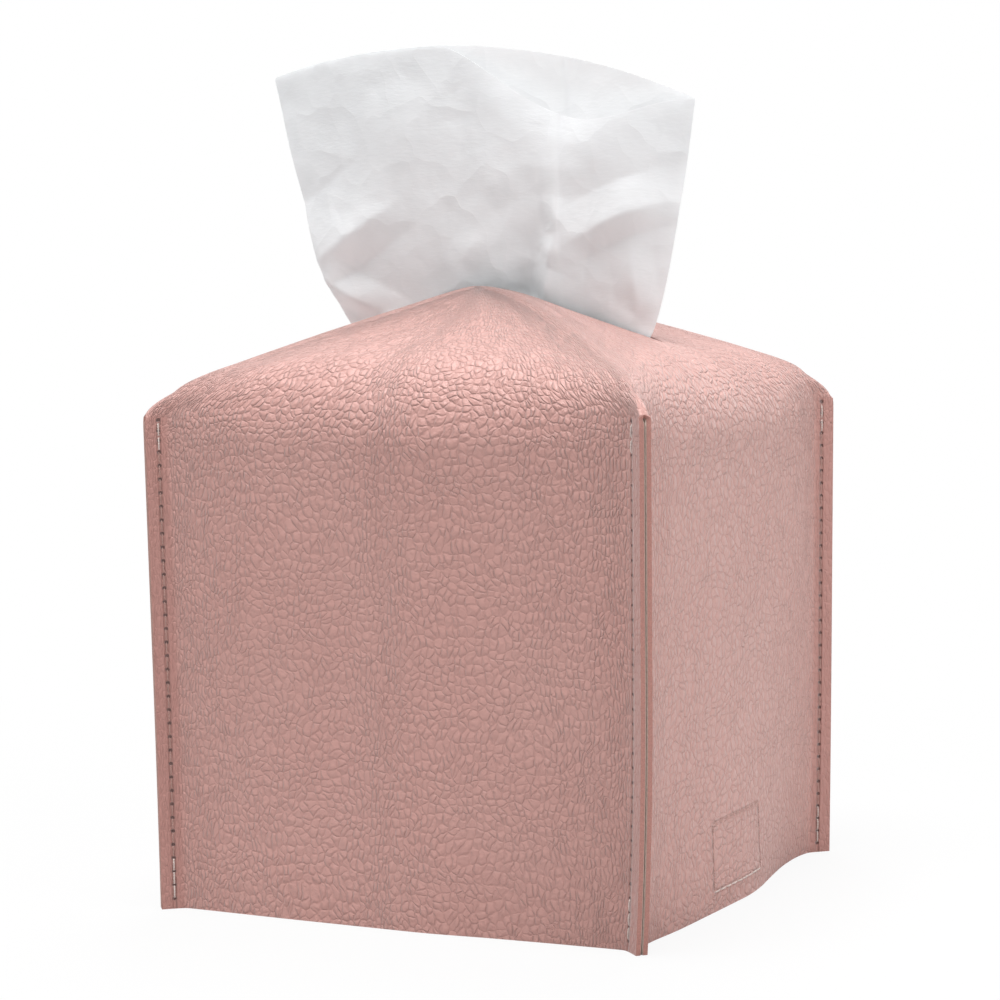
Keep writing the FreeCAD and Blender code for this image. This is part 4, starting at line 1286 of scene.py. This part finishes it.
def tissue_stack(paper):
    """Folded tissues lying on each other, each rounded at its folds."""
    count = int(round((PILE_HIGH[2] - PILE_LOW[2]) / FOLDED_TISSUE))
    pitch = (PILE_HIGH[2] - PILE_LOW[2]) / count
    chance = np.random.default_rng(PILE_SEED)
    heap = Heap()
    half = PILE_HIGH[1]
    radius = pitch / 2 - TISSUE_GAP
    stations = np.linspace(PILE_LOW[0], PILE_HIGH[0], PILE_STATIONS)
    arc = np.linspace(-math.pi / 2, math.pi / 2, PILE_ARC_STATIONS)
    for index in range(count):
        middle = PILE_LOW[2] + (index + 0.5) * pitch
        draw = chance.uniform(0.0, PILE_DRAW, 2)
        right, left = half - radius - draw[0], -half + radius + draw[1]
        inner = np.linspace(right, left, PILE_FLAT_STATIONS)[1:-1]
        right_end = np.stack([right + radius * np.cos(arc), radius * np.sin(arc)], -1)
        left_end = np.stack([left - radius * np.cos(arc), -radius * np.sin(arc)], -1)
        top = np.stack([inner, np.full_like(inner, radius)], -1)
        foot = np.stack([inner[::-1], np.full_like(inner, -radius)], -1)
        section = np.concatenate([right_end, top, left_end, foot])
        phase = chance.uniform(0, 6)
        points = []
        for x in stations:
            sway = PILE_SWAY * np.sin(x / PILE_SWAY_RUN + phase) * (np.abs(section[:, 0]) / half) ** 6
            y = np.clip(section[:, 0] - np.sign(section[:, 0]) * np.abs(sway), -half, half)
            points.append(np.stack([np.full(len(section), x), y, middle + section[:, 1]], -1))
        heap.add(np.concatenate(points), capped_faces(len(stations), len(section)))
    obj = new_object("folded_tissues", heap.points, heap.faces, paper)
    piece(obj, "carton", "tissue", "tissue_pile")


def card_material():
    """White carton board with a plain pale band."""
    material, tree, shader = new_material("carton_board", roughness=0.42)
    place = node(tree, "TexCoord").outputs["Object"]
    fibre = noise(tree, place, 900.0, 4).outputs["Fac"]
    height = node(tree, "SeparateXYZ", Vector=place).outputs[2]
    wander = maths(tree, "MULTIPLY", noise(tree, place, BAND_WANDER_SCALE, 1).outputs["Fac"], BAND_WANDER)
    band = ramped(tree, maths(tree, "ADD", height, wander), *BAND_EDGE, 1.0, 0.0)
    colour = blended(tree, fibre, shaded(CARD_COLOUR, CARD_SHADE), CARD_COLOUR)
    colour = blended(tree, maths(tree, "MULTIPLY", band, BAND_STRENGTH), colour, BAND_COLOUR)
    coloured(tree, shader, colour)
    bumped(tree, shader, fibre, 0.02)
    return material


def film_material():
    """Clear soft film with a slight haze."""
    material, tree, shader = new_material("slit_film", roughness=0.22, Base_Color=FILM_COLOUR, Alpha=FILM_ALPHA)
    place = node(tree, "TexCoord").outputs["Object"]
    wrinkle = noise(tree, place, FILM_WRINKLE_SCALE, 3).outputs["Fac"]
    bumped(tree, shader, wrinkle, FILM_WRINKLE)
    tree.links.new(ramped(tree, wrinkle, *FILM_HAZE), shader.inputs["Roughness"])
    return material


def carton_pieces():
    carton_box(card_material())
    tissue_stack(bpy.data.materials["tissue_paper"])
    film = bpy.data.objects["slit_film"]
    film.data.materials.clear()
    film.data.materials.append(film_material())


carton_pieces()

# Camera at the photograph's place
LENS = 90.28
CAMERA_PLACE = (0.2955, -0.5815, 0.1422)
CAMERA_TURN, CAMERA_PITCH, CAMERA_ROLL = (math.radians(angle) for angle in (27.05, 3.73, -0.85))


def photo_camera():
    data = bpy.data.cameras.new("camera")
    data.lens = LENS
    camera = bpy.data.objects.new("camera", data)
    bpy.context.scene.collection.objects.link(camera)
    right = Vector((math.cos(CAMERA_TURN), math.sin(CAMERA_TURN), 0))
    ahead = Vector((-math.sin(CAMERA_TURN) * math.cos(CAMERA_PITCH),
                    math.cos(CAMERA_TURN) * math.cos(CAMERA_PITCH), -math.sin(CAMERA_PITCH)))
    up = right.cross(ahead)
    across = right * math.cos(CAMERA_ROLL) + up * math.sin(CAMERA_ROLL)
    upward = up * math.cos(CAMERA_ROLL) - right * math.sin(CAMERA_ROLL)
    turn = Matrix((across, upward, -ahead)).transposed().to_4x4()
    camera.matrix_world = Matrix.Translation(CAMERA_PLACE) @ turn
    bpy.context.scene.camera = camera


# Lamps: name, place, aim and width in metres, and power in watts
LAMPS = (
    ("key", (-0.03, -0.28, 1.28), (0, 0, 0.12), 0.6, 16.2),
    ("back", (-0.1, 0.45, 1.25), (0, 0, 0.15), 0.6, 6.8),
    ("side", (1.15, -0.05, 0.55), (0, 0, 0.10), 0.7, 4.3),
)

# The sky's share as light; the floor turns white to the camera over these metres, between these shares
SKY_LIGHT = 0.362
FLOOR_WHITENS = (0.1, 0.4, 0.9, 1.0)
FLOOR_HALF, FLOOR_DROP = 4000.0, 0.05


def lamp(name, place, aim, width, power):
    """Square soft lamp turned towards an aim."""
    data = bpy.data.lights.new(name, "AREA")
    data.shape = "RECTANGLE"
    data.size = width
    data.size_y = width
    data.energy = power
    light = bpy.data.objects.new(name, data)
    light.location = place
    light.rotation_mode = "QUATERNION"
    light.rotation_quaternion = (Vector(aim) - Vector(place)).to_track_quat("-Z", "Y")
    bpy.context.scene.collection.objects.link(light)


def studio():
    """White surroundings, three soft lamps and a pale floor that keeps a faint shadow near the part."""
    scene = bpy.context.scene
    scene.view_settings.view_transform = "Standard"
    world = bpy.data.worlds.new("studio")
    scene.world = world
    world.use_nodes = True
    tree = world.node_tree
    sky = tree.nodes["Background"]
    sky.inputs["Color"].default_value = (1, 1, 1, 1)
    seen = node(tree, "LightPath")
    clear = maths(tree, "MAXIMUM", seen.outputs["Is Camera Ray"], seen.outputs["Is Transmission Ray"])
    clear = maths(tree, "MAXIMUM", clear, seen.outputs["Is Glossy Ray"])
    strength = node(tree, "MapRange", Value=clear, To_Min=SKY_LIGHT, To_Max=1.0)
    tree.links.new(strength.outputs[0], sky.inputs["Strength"])
    material, floor_tree, shader = new_material("floor", roughness=0.9, Base_Color=FLOOR_COLOUR)
    seen = node(floor_tree, "LightPath")
    glow = node(floor_tree, "Emission", Strength=1.0)
    place = node(floor_tree, "TexCoord").outputs["Object"]
    away = node(floor_tree, "VectorMath", {"operation": "LENGTH"}, i0=place).outputs["Value"]
    plain = ramped(floor_tree, away, *FLOOR_WHITENS)
    share = maths(floor_tree, "MULTIPLY", seen.outputs["Is Camera Ray"], plain)
    mixed = node(floor_tree, "MixShader", i0=share, i1=shader.outputs[0], i2=glow.outputs[0])
    floor_tree.links.new(mixed.outputs[0], floor_tree.nodes["Material Output"].inputs["Surface"])
    corners = [(x * FLOOR_HALF, y * FLOOR_HALF, -FLOOR_DROP) for x, y in ((-1, -1), (1, -1), (1, 1), (-1, 1))]
    floor = new_object("floor", corners, [(0, 1, 2, 3)], material, False)
    for settings in LAMPS:
        lamp(*settings)


photo_camera()
studio()
